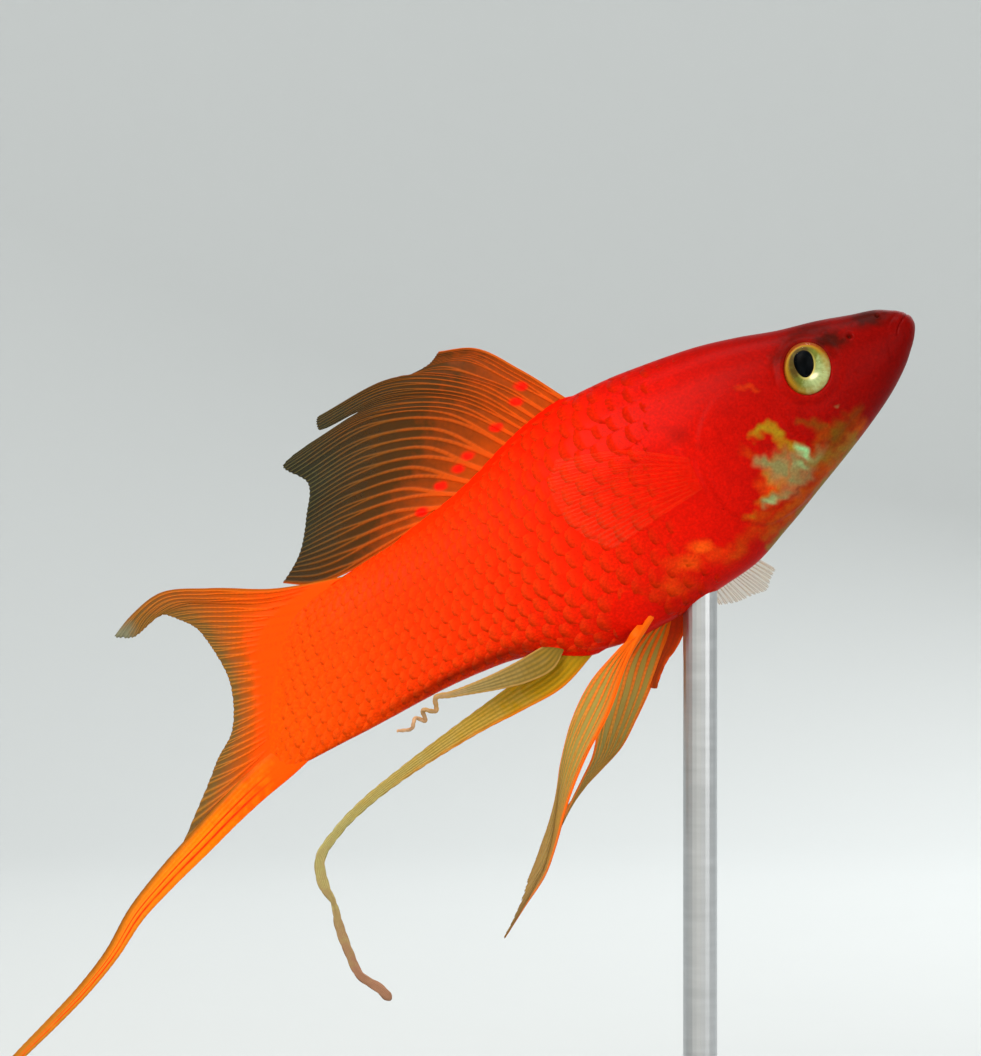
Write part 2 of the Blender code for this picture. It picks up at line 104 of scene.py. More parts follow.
def ridges(far: Array, rows: Line) -> Array:
    """Sum of bells at set distances; each row gives a middle, a half width and a height."""
    return sum(high * bell(far - middle, wide) for middle, wide, high in rows)


def cubic(first: Array, last: Array, leave: Array, arrive: Array, u: Array) -> Array:
    """Cubic between two values with a slope at each end, weighted by its four basis polynomials.

    Args:
        first: Values where the share is 0.
        last: Values where it is 1.
        leave: Slopes at the first values, for the whole span.
        arrive: Slopes at the last ones.
        u: Shares of the span.

    Returns:
        The values at the shares.
    """
    return (
        first * (1 + 2 * u) * (1 - u) ** 2
        + leave * u * (1 - u) ** 2
        + last * u * u * (3 - 2 * u)
        + arrive * u * u * (u - 1)
    )


def smooth(stops: Array, values: Array, at: Array) -> Array:
    """Values between stops, on cubic pieces whose slopes never overshoot the stops.

    Args:
        stops: Rising positions of the known values.
        values: One value, or row of values, for each stop.
        at: Positions to read.

    Returns:
        One value, or row of values, for each position.
    """
    stops, values, at = (np.asarray(a, float) for a in (stops, values, at))
    step = np.diff(stops)
    rise = (np.diff(values, axis=0).T / step).T
    slope = np.zeros_like(values)
    agree = rise[1:] * rise[:-1] > 0
    slope[1:-1] = np.where(agree, 2 * rise[1:] * rise[:-1] / np.where(agree, rise[1:] + rise[:-1], 1), 0)
    slope[0], slope[-1] = rise[0], rise[-1]
    k = np.clip(np.searchsorted(stops, at) - 1, 0, len(step) - 1)
    spread = (slice(None),) * at.ndim + (None,) * (values.ndim - 1)
    u, h = ((at - stops[k]) / step[k])[spread], step[k][spread]
    return cubic(values[k], values[k + 1], slope[k] * h, slope[k + 1] * h, u)


def run_along(points: Array) -> Array:
    """Length run along a line of points, up to each of them."""
    return np.r_[0, np.cumsum(np.linalg.norm(np.diff(points, axis=0), axis=1))]


def flow(points: Array, at: Array) -> Array:
    """Points along a rounded open curve through the given ones, by share of its length.

    Args:
        points: The points that the curve passes through, one per row.
        at: Shares of the length, from 0 to 1.

    Returns:
        One point for each share.
    """
    points = np.asarray(points, float)
    run = run_along(points)
    run /= run[-1]
    tangent = np.gradient(points, run, axis=0)
    k = np.clip(np.searchsorted(run, at) - 1, 0, len(run) - 2)
    h = (run[k + 1] - run[k])[:, None]
    u = ((at - run[k]) / h[:, 0])[:, None]
    return cubic(points[k], points[k + 1], tangent[k] * h, tangent[k + 1] * h, u)


def to_line(s: Array, t: Array, line: Line) -> tuple[Array, Array]:
    """Signed distance from points to an open line, and how far along it they are.

    Each piece of the line gives the distance to its nearest point; the smallest counts. The sign is
    that of the cross product with the piece, so it is positive on the line's left.

    Args:
        s: Tail-ward places.
        t: Heights.
        line: Points of the line.

    Returns:
        The signed distance and the share of the line's length, each of the shape of s.
    """
    path = flow(line, np.linspace(0, 1, PIECES_PER_POINT * len(line)))
    start, lead = path[:-1], np.diff(path, axis=0)
    length = np.linalg.norm(lead, axis=1)
    ds, dt = s[..., None] - start[:, 0], t[..., None] - start[:, 1]
    share = np.clip((ds * lead[:, 0] + dt * lead[:, 1]) / length**2, 0, 1)
    gap_s, gap_t = ds - share * lead[:, 0], dt - share * lead[:, 1]
    far = np.hypot(gap_s, gap_t)
    near = far.argmin(axis=-1)[..., None]
    sign = np.sign(lead[:, 0] * dt - lead[:, 1] * ds)
    run = (np.r_[0, np.cumsum(length)[:-1]] + share * length) / length.sum()
    far, run = (np.take_along_axis(a, near, axis=-1)[..., 0] for a in (far * sign, run))
    return far, run


# ---- the fish's form


@dataclass(frozen=True)
class FishFrame:
    """Where the fish hangs over the stand, and how its body swings."""

    pitch: float = math.radians(28.95)
    snout_x: float = 37.1
    snout_z: float = 85.7
    sway_start: float = 24.0
    sway_span: float = 50.0
    sway_reach: float = 1.5
    sway_turn: float = 3.6
    eye: Pair = (10.33, 1.2)
    eye_squash: float = 0.905

    def sway(self, s: Array) -> Array:
        """Sideways swing of the middle line: a sine of the share of the span, times that share."""
        u = np.clip((np.asarray(s, float) - self.sway_start) / self.sway_span, 0, 1.3)
        return self.sway_reach * np.sin(u * self.sway_turn) * u

    def place(self, points: Array) -> Array:
        """Turn fish millimetres into stand metres: a tilt in the plane of s and t, then a shift.

        Args:
            points: Rows of s, y and t.

        Returns:
            Rows of x, y and z.
        """
        s, y, t = np.asarray(points, float).reshape(-1, 3).T
        level, rise = turned(s, t, self.pitch)
        return np.stack([self.snout_x - level, y, self.snout_z + rise], axis=1) * MM


@dataclass
class BodyForm:
    """The body as a surface of two parameters: station s and v, the share of the way round.

    v starts at the back, runs down the right flank to the belly at 0.5 and up the left one.
    """

    fish: FishFrame
    stations: Line = (
        # s, back, belly, half width, fullness above, fullness below
        (-0.3, 1.45, -0.45, 1.15, 0.9, 1.0),
        (0.3, 1.82, -0.95, 1.5, 0.86, 1.0),
        (0.9, 2.14, -1.48, 1.78, 0.82, 1.0),
        (2.2, 2.9, -2.68, 2.3, 0.76, 1.0),
        (4.4, 3.6, -4.18, 3.05, 0.68, 1.0),
        (7.2, 4.55, -5.62, 3.7, 0.64, 1.04),
        (10.7, 5.5, -7.15, 4.25, 0.64, 1.06),
        (14.0, 6.65, -8.5, 4.7, 0.7, 1.04),
        (18.0, 7.8, -10.15, 5.15, 0.8, 0.98),
        (22.6, 8.65, -11.75, 5.5, 0.88, 0.94),
        (26.4, 9.1, -12.1, 5.55, 0.92, 0.95),
        (30.3, 9.25, -12.45, 5.45, 0.95, 1.0),
        (34.0, 8.8, -12.35, 5.1, 0.97, 1.04),
        (37.7, 8.0, -11.5, 4.6, 1.0, 1.08),
        (41.2, 7.0, -9.5, 4.0, 1.0, 1.08),
        (45.0, 6.2, -8.5, 3.45, 1.0, 1.04),
        (50.0, 5.6, -8.05, 2.8, 1.0, 1.0),
        (55.0, 5.35, -8.0, 2.2, 1.0, 1.0),
        (59.0, 5.1, -7.85, 1.66, 1.0, 1.0),
        (61.6, 4.93, -7.75, 1.02, 1.0, 1.0),
        (63.6, 4.75, -7.75, 0.46, 1.0, 1.0),
        (65.4, 4.6, -7.85, 0.06, 1.0, 1.0),
        (66.4, 4.5, -7.9, 0.04, 1.0, 1.0),
    )
    snout: float = -0.3
    end: float = 66.4
    flesh_end: float = 65.5
    bulge: float = 0.6
    blunt: float = 1.35
    round_power: float = 2.4
    bulge_start: float = 50.0
    bulge_end: float = 63.6
    insets: Pair = (0.03, 0.13)  # how deep the surface lies, at the head and behind it
    inset_grows: Pair = (14.0, 23.0)
    inset_fades: Pair = (57.0, 64.0)
    small_step: Pair = (0.02, 0.001)  # tail-wards and round the girth, to take slopes by
    lean_stops: tuple[float, ...] = (33.6, 47.0, 62.6)
    leans: tuple[float, ...] = (0.0, 0.25, 0.72)
    table: tuple[int, int] = (640, 321)
    turns: Array = field(init=False)
    girths: Array = field(init=False)

    def __post_init__(self) -> None:
        """Tabulate the turn that each share of the girth stands for, station by station."""
        rows, columns = self.table
        s = np.linspace(self.snout, self.end, rows)[:, None]
        turn = np.linspace(0, 2 * math.pi, 4 * columns)[None, :]
        ring = self.section(s + 0 * turn, turn + 0 * s)
        step = np.linalg.norm(np.diff(ring, axis=1), axis=2)
        run = np.cumsum(np.pad(step, ((0, 0), (1, 0))), axis=1)
        self.girths = run[:, -1]
        share = run / np.maximum(run[:, -1:], 1e-6)
        share[0] = turn / (2 * math.pi)
        wanted = np.linspace(0, 1, columns)
        self.turns = np.stack([np.interp(wanted, row, turn[0]) for row in share])

    def station(self, s: Array) -> Array:
        """Back, belly, half width and both fullnesses at s, drawn in to a blunt round snout.

        Near the snout the sizes shrink about the section's middle by a superellipse's quarter,
        (1 - (1 - w) ** p) ** (1 / p), where w grows from 0 to 1 over the blunt length.

        Args:
            s: Stations.

        Returns:
            The five sizes, first axis, at each station.
        """
        table = np.array(self.stations)
        back, belly, half, above, below = np.moveaxis(smooth(table[:, 0], table[:, 1:], s), -1, 0)
        w = np.clip((s - self.snout) / self.blunt, 0, 1)
        draw = (1 - (1 - w) ** self.round_power) ** (1 / self.round_power)
        middle, high = (back + belly) / 2, (back - belly) / 2
        return np.stack([middle + high * draw, middle - high * draw, half * draw, above, below])

    def lean(self, s: Array) -> Array:
        """How far a section leans tail-wards for each millimetre below its middle."""
        return np.interp(s, self.lean_stops, self.leans)

    def section(self, s: Array, turn: Array) -> Array:
        """Points of the body: a section's height is a cosine of turn, its width a powered sine.

        Each section leans as set, and the last ones bulge tail-wards by the sine squared.

        Args:
            s: Stations.
            turn: Angles round each section, from the back.

        Returns:
            Points with s, y and t last, before the swing.
        """
        back, belly, half, above, below = self.station(s)
        middle, high = (back + belly) / 2, (back - belly) / 2
        t = middle + high * np.cos(turn)
        full = np.where(np.cos(turn) > 0, above, below)
        side = np.sin(turn)
        y = -half * np.sign(side) * np.abs(side) ** full
        round_end = self.bulge * smoothstep(self.bulge_start, self.bulge_end, s) * side**2
        far = s - self.lean(s) * (t - middle) + round_end
        return np.stack([far, y, t], axis=-1)

    def turn_at(self, s: Array, v: Array) -> Array:
        """The turn of a share of the girth, read from the table between its four near cells.

        Args:
            s: Stations.
            v: Shares of the girth, of the same shape.

        Returns:
            Angles round the section.
        """
        rows, columns = self.table
        i = np.clip((s - self.snout) / (self.end - self.snout), 0, 1) * (rows - 1)
        j = (v % 1.0) * (columns - 1)
        i0, j0 = np.minimum(i.astype(int), rows - 2), np.minimum(j.astype(int), columns - 2)
        a, b = i - i0, j - j0
        near, far = (self.turns[k, j0] * (1 - b) + self.turns[k, j0 + 1] * b for k in (i0, i0 + 1))
        return near * (1 - a) + far * a

    def girth(self, s: Array) -> Array:
        """Length once round the body at s."""
        return np.interp(s, np.linspace(self.snout, self.end, self.table[0]), self.girths)

    def surface(self, s: Array, v: Array, lift: Array | float = 0.0) -> Array:
        """Points of the body raised along its normal, with the body's swing.

        The normal is the cross product of the slopes round the girth and tail-wards, taken by
        small steps. Between head and tail fin the surface lies deeper, to leave room for the scales.

        Args:
            s: Stations.
            v: Shares of the girth, of the same shape.
            lift: Height over the bare form.

        Returns:
            Points with s, y and t last.
        """
        ds, dv = self.small_step
        here, behind, beside = (
            self.section(a, self.turn_at(a, b)) for a, b in ((s, v), (s + ds, v), (s, v + dv))
        )
        normal = np.cross(beside - here, behind - here)
        length = np.linalg.norm(normal, axis=-1, keepdims=True)
        normal = np.where(length > 1e-12, normal / np.maximum(length, 1e-12), (-1.0, 0.0, 0.0))
        inset = self.insets[0] + (self.insets[1] - self.insets[0]) * smoothstep(*self.inset_grows, s)
        inset *= 1 - 0.9 * smoothstep(*self.inset_fades, s)
        points = here + normal * (np.asarray(lift) - inset)[..., None]
        points[..., 1] += self.fish.sway(points[..., 0])
        return points


# ---- meshes


def add_mesh(
    name: str,
    points: Array,
    quads: Array,
    triangles: Array | None = None,
    fields: dict[str, Array] | None = None,
    uv: Array | None = None,
) -> Piece:
    """Put arrays into a smooth-shaded mesh object at the origin.

    Args:
        name: Name of the piece.
        points: Rows of x, y and z in metres.
        quads: Rows of four point numbers.
        triangles: Rows of three point numbers, if any.
        fields: One number for each point under each attribute name.
        uv: One u, v row for each point, for the bake map.

    Returns:
        The object, linked to the scene.
    """
    triangles = np.zeros((0, 3), int) if triangles is None else triangles
    corners = np.concatenate([quads.ravel(), triangles.ravel()]).astype(np.int32)
    sizes = np.repeat([4, 3], [len(quads), len(triangles)])
    mesh = bpy.data.meshes.new(name)
    mesh.vertices.add(len(points))
    mesh.vertices.foreach_set("co", points.astype(np.float32).ravel())
    mesh.loops.add(len(corners))
    mesh.loops.foreach_set("vertex_index", corners)
    mesh.polygons.add(len(sizes))
    mesh.polygons.foreach_set("loop_start", (np.cumsum(sizes) - sizes).astype(np.int32))
    mesh.update(calc_edges=True)
    mesh.validate()
    for key, values in (fields or {}).items():
        layer = mesh.attributes.new(key, "FLOAT", "POINT")
        layer.data.foreach_set("value", np.asarray(values, np.float32).ravel())
    if uv is not None:
        layer = mesh.uv_layers.new(name="OFBake")
        layer.data.foreach_set("uv", uv[corners].astype(np.float32).ravel())
    mesh.shade_smooth()
    thing = bpy.data.objects.new(name, mesh)
    bpy.context.scene.collection.objects.link(thing)
    return thing


def grid_quads(rows: int, columns: int, wrap: bool = False) -> Array:
    """Faces of a grid of points numbered row by row.

    Args:
        rows: Rows of points.
        columns: Points in each row.
        wrap: Whether each row closes on itself.

    Returns:
        Rows of four point numbers.
    """
    i, j = np.meshgrid(np.arange(rows - 1), np.arange(columns if wrap else columns - 1), indexing="ij")
    k = (j + 1) % columns
    cells = [i * columns + j, i * columns + k, (i + 1) * columns + k, (i + 1) * columns + j]
    return np.stack(cells, -1).reshape(-1, 4)


def slab_quads(rows: int, columns: int) -> Array:
    """Faces of two like grids, numbered one after the other, and of the edge that joins them.

    Args:
        rows: Rows of each grid.
        columns: Columns of each.

    Returns:
        Rows of four point numbers.
    """
    top, last = grid_quads(rows, columns), rows * columns
    rim = np.r_[
        np.arange(columns - 1),
        np.arange(rows - 1) * columns + columns - 1,
        np.arange(last - 1, last - columns, -1),
        np.arange(rows - 1, 0, -1) * columns,
    ]
    after = np.roll(rim, -1)
    return np.concatenate([top, top[:, ::-1] + last, np.stack([rim, rim + last, after + last, after], 1)])


def cap_fans(rows: int, columns: int) -> Array:
    """Triangles from the two points after a wrapped grid to its first and its last row.

    Args:
        rows: Rows of the grid.
        columns: Points in each row.

    Returns:
        Rows of three point numbers.
    """
    j = np.arange(columns)
    k = (j + 1) % columns
    end = rows * columns
    first = np.stack([np.full(columns, end), k, j], 1)
    last = np.stack([np.full(columns, end + 1), end - columns + j, end - columns + k], 1)
    return np.concatenate([first, last])


def is_inside_out(points: Array, quads: Array) -> bool:
    """Whether the volume that the faces enclose about their points' middle is below zero.

    Args:
        points: Rows of x, y and z.
        quads: Rows of four point numbers.

    Returns:
        True when the faces point inwards.
    """
    a, b, c, d = (points[quads[:, k]] - points.mean(0) for k in range(4))
    return bool((np.cross(a, b) * c).sum() + (np.cross(a, c) * d).sum() < 0)


def sheet(name: str, fish: FishFrame, middle: Array, thick: Array, fields: dict[str, Array]) -> Piece:
    """A thin closed sheet: each grid point moved half its thickness both ways along the normal.

    Args:
        name: Name of the piece.
        fish: The frame that places it.
        middle: Mid-surface points, columns by rows by 3.
        thick: Thickness at each of them.
        fields: Attributes at each of them.

    Returns:
        The finished object.
    """
    normal = np.cross(np.gradient(middle, axis=0), np.gradient(middle, axis=1))
    normal /= np.maximum(np.linalg.norm(normal, axis=2, keepdims=True), 1e-9)
    half = normal * thick[..., None] / 2
    points = fish.place(np.concatenate([(middle + half).reshape(-1, 3), (middle - half).reshape(-1, 3)]))
    quads = slab_quads(*middle.shape[:2])
    if is_inside_out(points, quads):
        quads = quads[:, ::-1]
    double = {key: np.tile(values.ravel(), 2) for key, values in fields.items()}
    return add_mesh(name, points, quads, fields=double)


# ---- materials


def linear(code: str) -> tuple[float, float, float, float]:
    """An sRGB hex colour as linear light: c / 12.92 when dark, else ((c + 0.055) / 1.055) ** 2.4.

    Args:
        code: The colour, as #RRGGBB.

    Returns:
        Linear red, green, blue and alpha.
    """
    part = [int(code[k : k + 2], 16) / 255 for k in (1, 3, 5)]
    red, green, blue = (c / 12.92 if c <= 0.04045 else ((c + 0.055) / 1.055) ** 2.4 for c in part)
    return red, green, blue, 1.0


def add(tree: Tree, kind: str, inputs: dict | None = None, **settings: Any) -> Any:
    """Add a node with its settings and links.

    Args:
        tree: The material's node tree.
        kind: The node's type, without the ShaderNode before it.
        inputs: For each socket name or number, a value, a node whose first output feeds it, or a
            pair of node and output.
        settings: Properties of the node; stops fills a colour ramp with (place, colour) pairs.

    Returns:
        The node.
    """
    node = tree.nodes.new("ShaderNode" + kind)
    for key, value in settings.items():
        if key == "stops":
            ramp = node.color_ramp.elements
            while len(ramp) < len(value):
                ramp.new(0.5)
            for element, (place, colour) in zip(ramp, value):
                element.position, element.color = place, colour
        else:
            setattr(node, key, value)
    for key, value in (inputs or {}).items():
        socket = node.inputs[key]
        if isinstance(value, bpy.types.Node):
            tree.links.new(value.outputs[0], socket)
        elif isinstance(value, tuple) and isinstance(value[0], bpy.types.Node):
            tree.links.new(value[0].outputs[value[1]], socket)
        else:
            socket.default_value = value
    return node


@dataclass(frozen=True)
class Finish:
    """A surface finish: opens a material and closes it on its output."""

    name: str

    def open(self) -> tuple[Tree, Any]:
        """Start a material with an empty node tree.

        Returns:
            The tree and its Object coordinates.
        """
        material = bpy.data.materials.new(self.name)
        material.use_nodes = True
        material.node_tree.nodes.clear()
        return material.node_tree, (add(material.node_tree, "TexCoord"), "Object")

    def close(self, tree: Tree, shader: Any) -> Material:
        """Join the shader to the output and return the material."""
        add(tree, "OutputMaterial", {"Surface": shader})
        return bpy.data.materials[self.name]

    def make(self) -> Material:
        """Build the material, as each finish does in its own way."""
        raise NotImplementedError


def dress(thing: Piece, finish: Finish) -> Piece:
    """Give a piece its finish and hand it back."""
    thing.data.materials.append(finish.make())
    return thing


@dataclass(frozen=True)
class FleshFinish(Finish):
    """Live skin and scales of a cultured red swordtail: clear mucus over red and orange cells.

    The colour cells give a fine-grained warm red that turns to orange tail-wards. The fields carry
    the markings, whose borders break up into wisps that run down towards the throat. The dark field
    also carries painted shade: the brow's shadow, darker grooves and eye socket, and a line along the
    belly's edge near the tail.
    """

    skin: Names = ("#720200", "#8C0400", "#AC0700", "#D00D00", "#FA1C00", "#FF3200", "#FF5000")
    places: tuple[float, ...] = (0.03, 0.16, 0.27, 0.38, 0.55, 0.78, 1.0)
    marks: tuple[tuple[str, str, float], ...] = (
        ("glow", "#FF6A12", 1.0), ("rust", "#AA4404", 1.2), ("throat", "#6E460A", 1.0),
        ("olive", "#786A20", 0.9), ("amber", "#9A7610", 0.9), ("khaki", "#827A4A", 0.8),
        ("mint", "#8CCA88", 0.6), ("dark", "#400A03", 0.4),
    # dark is partly painted shade: under the brow, in grooves and the eye's socket, along the belly's edge
    )
    rim: str = "#FF6A20"
    scaled: bool = False
    clump_mm: float = 1.1  # a clump of colour cells
    grain_mm: float = 0.24  # the cells are under 0.1 mm across, drawn coarser so that they show
    wisp_mm: float = 1.1  # breadth of a wisp, three times as long

    def make(self) -> Material:
        """Build the material.

        Returns:
            The material.
        """
        tree, place = self.open()
        clumps = {"Vector": place, "Scale": 1 / (self.clump_mm * MM), "Detail": 5.0, "Roughness": 0.68}
        cells = add(tree, "TexNoise", clumps)
        drift = add(tree, "Math", {0: (cells, "Fac"), 1: -0.5}, operation="ADD")
        tone = (add(tree, "Attribute", attribute_name="tone"), "Fac")
        moved = add(tree, "Math", {0: drift, 1: 0.12, 2: tone}, operation="MULTIPLY_ADD")
        stops = [(p, linear(c)) for p, c in zip(self.places, self.skin)]
        base: Any = add(tree, "ValToRGB", {"Fac": moved}, stops=stops)
        grain = add(tree, "TexNoise", {"Vector": place, "Scale": 1 / (self.grain_mm * MM), "Detail": 2.0})
        if self.scaled:
            edge = (add(tree, "Attribute", attribute_name="edge"), "Fac")
            rim = add(tree, "Math", {0: edge, 1: 0.26}, operation="MULTIPLY")
            base = (add(tree, "Mix", {0: rim, 6: base, 7: linear(self.rim)}, data_type="RGBA"), 2)
        slant = {"Vector": place, "Rotation": (0.0, 0.36, 0.0), "Scale": (3.0, 1.0, 1.0)}
        lie = add(tree, "Mapping", slant, vector_type="TEXTURE")
        torn_edge = {"Vector": lie, "Scale": 1 / (self.wisp_mm * MM), "Detail": 2.2, "Roughness": 0.5}
        wisp = add(tree, "TexNoise", torn_edge)
        torn = add(tree, "Math", {0: (wisp, "Fac"), 1: -0.5}, operation="ADD")
        for key, code, depth in self.marks:
            mark = (add(tree, "Attribute", attribute_name=key), "Fac")
            gain = add(tree, "Math", {0: torn, 1: 1.9 * depth, 2: 1.0}, operation="MULTIPLY_ADD")
            broken = add(tree, "Math", {0: mark, 1: gain}, operation="MULTIPLY")
            mask = add(tree, "MapRange", {0: broken, 1: 0.06, 2: 1.02})
            base = (add(tree, "Mix", {0: mask, 6: base, 7: linear(code)}, data_type="RGBA"), 2)
        fleck = add(tree, "MapRange", {0: (grain, "Fac"), 1: 0.35, 2: 0.7, 3: 0.84, 4: 1.1})
        base = add(tree, "Mix", {0: 1.0, 6: base, 7: fleck}, data_type="RGBA", blend_type="MULTIPLY")
        gloss = add(tree, "MapRange", {0: (grain, "Fac"), 1: 0.3, 2: 0.7, 3: 0.4, 4: 0.54})
        bump = add(tree, "Bump", {"Height": (grain, "Fac"), "Strength": 0.2, "Distance": 0.05 * MM})
        sockets = {
            "Base Color": (base, 2), "Roughness": gloss, "Normal": bump, "IOR": 1.4,
            "Specular IOR Level": 0.04, "Coat Weight": 0.02, "Coat Roughness": 0.22,
            "Subsurface Weight": 0.06, "Subsurface Radius": (1.0, 0.2, 0.1),
            "Subsurface Scale": 0.6 * MM,
        }
        return self.close(tree, add(tree, "BsdfPrincipled", sockets))


@dataclass(frozen=True)
class FinFinish(Finish):
    """Fin skin stretched over bony rays: rays solid and warm, the skin between them thin and clear.

    Colours run from root to tip along the field reach. The field ray is 1 on a ray and 0 between,
    rim follows the outermost rays, mark is a spot colour and cross the joints of the rays.
    """

    ray: Colours = ("#F26A10", "#B4681A", "#7C6C3C")
    web: Colours = ("#B84808", "#5E3A0E", "#3E3420")
    places: Triple = (0.1, 0.5, 0.95)
    web_places: tuple[float, ...] = ()
    rim: str = "#FF6A10"
    rim_fade: Triple = (0.55, 1.0, 0.35)
    mark: str = "#F01804"
    joint: str = "#4A2008"
    clear: Pair = (0.75, 0.42)
    ray_solid: float = 0.98
    rim_solid: float = 1.0
    blotch_mm: float = 0.9  # a blotch of pigment

    def make(self) -> Material:
        """Build the material.

        Returns:
            The material.
        """
        tree, place = self.open()
        mark = {
            key: (add(tree, "Attribute", attribute_name=key), "Fac")
            for key in ("ray", "reach", "rim", "mark", "cross")
        }
        noise = add(tree, "TexNoise", {"Vector": place, "Scale": 1 / (self.blotch_mm * MM), "Detail": 4.0})
        wander = add(tree, "Math", {0: (noise, "Fac"), 1: -0.5}, operation="ADD")
        reach = add(tree, "Math", {0: wander, 1: 0.3, 2: mark["reach"]}, operation="MULTIPLY_ADD")
        ramps = [
            add(tree, "ValToRGB", {"Fac": reach}, stops=[(p, linear(c)) for p, c in zip(places, codes)])
            for places, codes in ((self.places, self.ray), (self.web_places or self.places, self.web))
        ]
        cross = add(tree, "Math", {0: mark["cross"], 1: 0.25}, operation="MULTIPLY")
        ray = add(tree, "Mix", {0: cross, 6: ramps[0], 7: linear(self.joint)}, data_type="RGBA")
        base = add(tree, "Mix", {0: mark["ray"], 6: ramps[1], 7: (ray, 2)}, data_type="RGBA")
        near, far, left = self.rim_fade
        fade = add(tree, "MapRange", {0: reach, 1: near, 2: far, 3: 1.0, 4: left})
        rim = add(tree, "Math", {0: mark["rim"], 1: fade}, operation="MULTIPLY")
        base = add(tree, "Mix", {0: rim, 6: (base, 2), 7: linear(self.rim)}, data_type="RGBA")
        gain = add(tree, "Math", {0: wander, 1: 1.6, 2: 1.0}, operation="MULTIPLY_ADD")
        torn = add(tree, "Math", {0: gain, 1: mark["mark"]}, operation="MULTIPLY")
        spot = add(tree, "MapRange", {0: torn, 1: 0.1, 2: 0.95}, interpolation_type="SMOOTHSTEP")
        base = add(tree, "Mix", {0: spot, 6: (base, 2), 7: linear(self.mark)}, data_type="RGBA")
        thin = add(tree, "MapRange", {0: reach, 1: 0.0, 2: 0.9, 3: self.clear[0], 4: self.clear[1]})
        cover = add(tree, "Math", {0: mark["ray"], 1: spot}, operation="MAXIMUM")
        alpha = add(tree, "MapRange", {0: cover, 1: 0.0, 2: 1.0, 3: thin, 4: self.ray_solid})
        alpha = add(tree, "MapRange", {0: rim, 1: 0.0, 2: 1.0, 3: alpha, 4: self.rim_solid})
        bump = add(tree, "Bump", {"Height": (noise, "Fac"), "Strength": 0.2, "Distance": 0.05 * MM})
        sockets = {
            "Base Color": (base, 2), "Roughness": 0.42, "Normal": bump, "Alpha": alpha, "IOR": 1.4,
            "Specular IOR Level": 0.06,
        }
        return self.close(tree, add(tree, "BsdfPrincipled", sockets))


@dataclass(frozen=True)
class IrisFinish(Finish):
    """Iris of a fish: guanine crystals behind clear skin, painted pale where they face the day.

    On their painted shade side, away from the light, they turn olive, with a gold ring outside. The
    field radius runs from 0 at the pupil to 1 at the rim, light is painted light, 1 on the lit side,
    and the glint field is 1 on a painted glint, a bright fleck beside the pupil.
    """

    # painted light: colours from the iris's painted shade side to its painted lit side
    lights: Colours = ("#4A3804", "#667026", "#A4B47A")
    inner: str = "#C8B05C"
    gold: str = "#9E740E"
    ring: str = "#8E4006"
    # colour of the painted glint beside the pupil
    fleck: str = "#ECE8BC"
    crystal_mm: float = 0.5  # a clump of crystals

    def make(self) -> Material:
        """Build the material.

        Returns:
            The material.
        """
        tree, place = self.open()
        radius, light, streak, shine = (
            (add(tree, "Attribute", attribute_name=key), "Fac")
            for key in ("radius", "light", "streak", "shine")
        )
        clump = add(tree, "TexNoise", {"Vector": place, "Scale": 1 / (self.crystal_mm * MM), "Detail": 4.0})
        drift = add(tree, "Math", {0: (clump, "Fac"), 1: -0.5}, operation="ADD")
        # painted light: the light field, broken up by the crystals' clumps
        lit = add(tree, "Math", {0: drift, 1: 0.8, 2: light}, operation="MULTIPLY_ADD")
        stops = [(p, linear(c)) for p, c in zip((0.0, 0.5, 1.0), self.lights)]
        base: Any = add(tree, "ValToRGB", {"Fac": lit}, stops=stops)
        ripple = add(tree, "MapRange", {0: streak, 1: 0.0, 2: 1.0, 3: 0.86, 4: 1.08})
        base = add(tree, "Mix", {0: 1.0, 6: base, 7: ripple}, data_type="RGBA", blend_type="MULTIPLY")
        # painted shade side of the iris: 1 where it is least lit; the gold and the outer ring show there
        painted_shade_side = add(tree, "MapRange", {0: lit, 1: 0.3, 2: 1.0, 3: 1.0, 4: 0.12})
        for key, low, high, share, colour in (
            (radius, 0.14, 0.0, light, self.inner), (radius, 0.36, 0.8, painted_shade_side, self.gold),
            (radius, 0.78, 1.0, painted_shade_side, self.ring), (shine, 0.05, 0.95, 1.0, self.fleck),
        ):
            ring = add(tree, "MapRange", {0: key, 1: low, 2: high}, interpolation_type="SMOOTHSTEP")
            mask = add(tree, "Math", {0: ring, 1: share}, operation="MULTIPLY")
            base = add(tree, "Mix", {0: mask, 6: (base, 2), 7: linear(colour)}, data_type="RGBA")
        bump = add(tree, "Bump", {"Height": (clump, "Fac"), "Strength": 0.2, "Distance": 0.05 * MM})
        sockets = {
            "Base Color": (base, 2), "Metallic": 0.1, "Roughness": 0.45, "Specular IOR Level": 0.15,
            "Normal": bump,
        }
        return self.close(tree, add(tree, "BsdfPrincipled", sockets))


@dataclass(frozen=True)
class PupilFinish(Finish):
    """The lens in the pupil: clear and round over a dark chamber, so black and slightly uneven."""

    cloud_mm: float = 0.8

    def make(self) -> Material:
        """Build the material.

        Returns:
            The material.
        """
        tree, place = self.open()
        depth = add(tree, "TexNoise", {"Vector": place, "Scale": 1 / (self.cloud_mm * MM)})
        stops = [(0.35, linear("#030405")), (0.7, linear("#070A0E"))]
        tint = add(tree, "ValToRGB", {"Fac": (depth, "Fac")}, stops=stops)
        sockets = {"Base Color": tint, "Roughness": 0.3, "Specular IOR Level": 0.03}
        return self.close(tree, add(tree, "BsdfPrincipled", sockets))


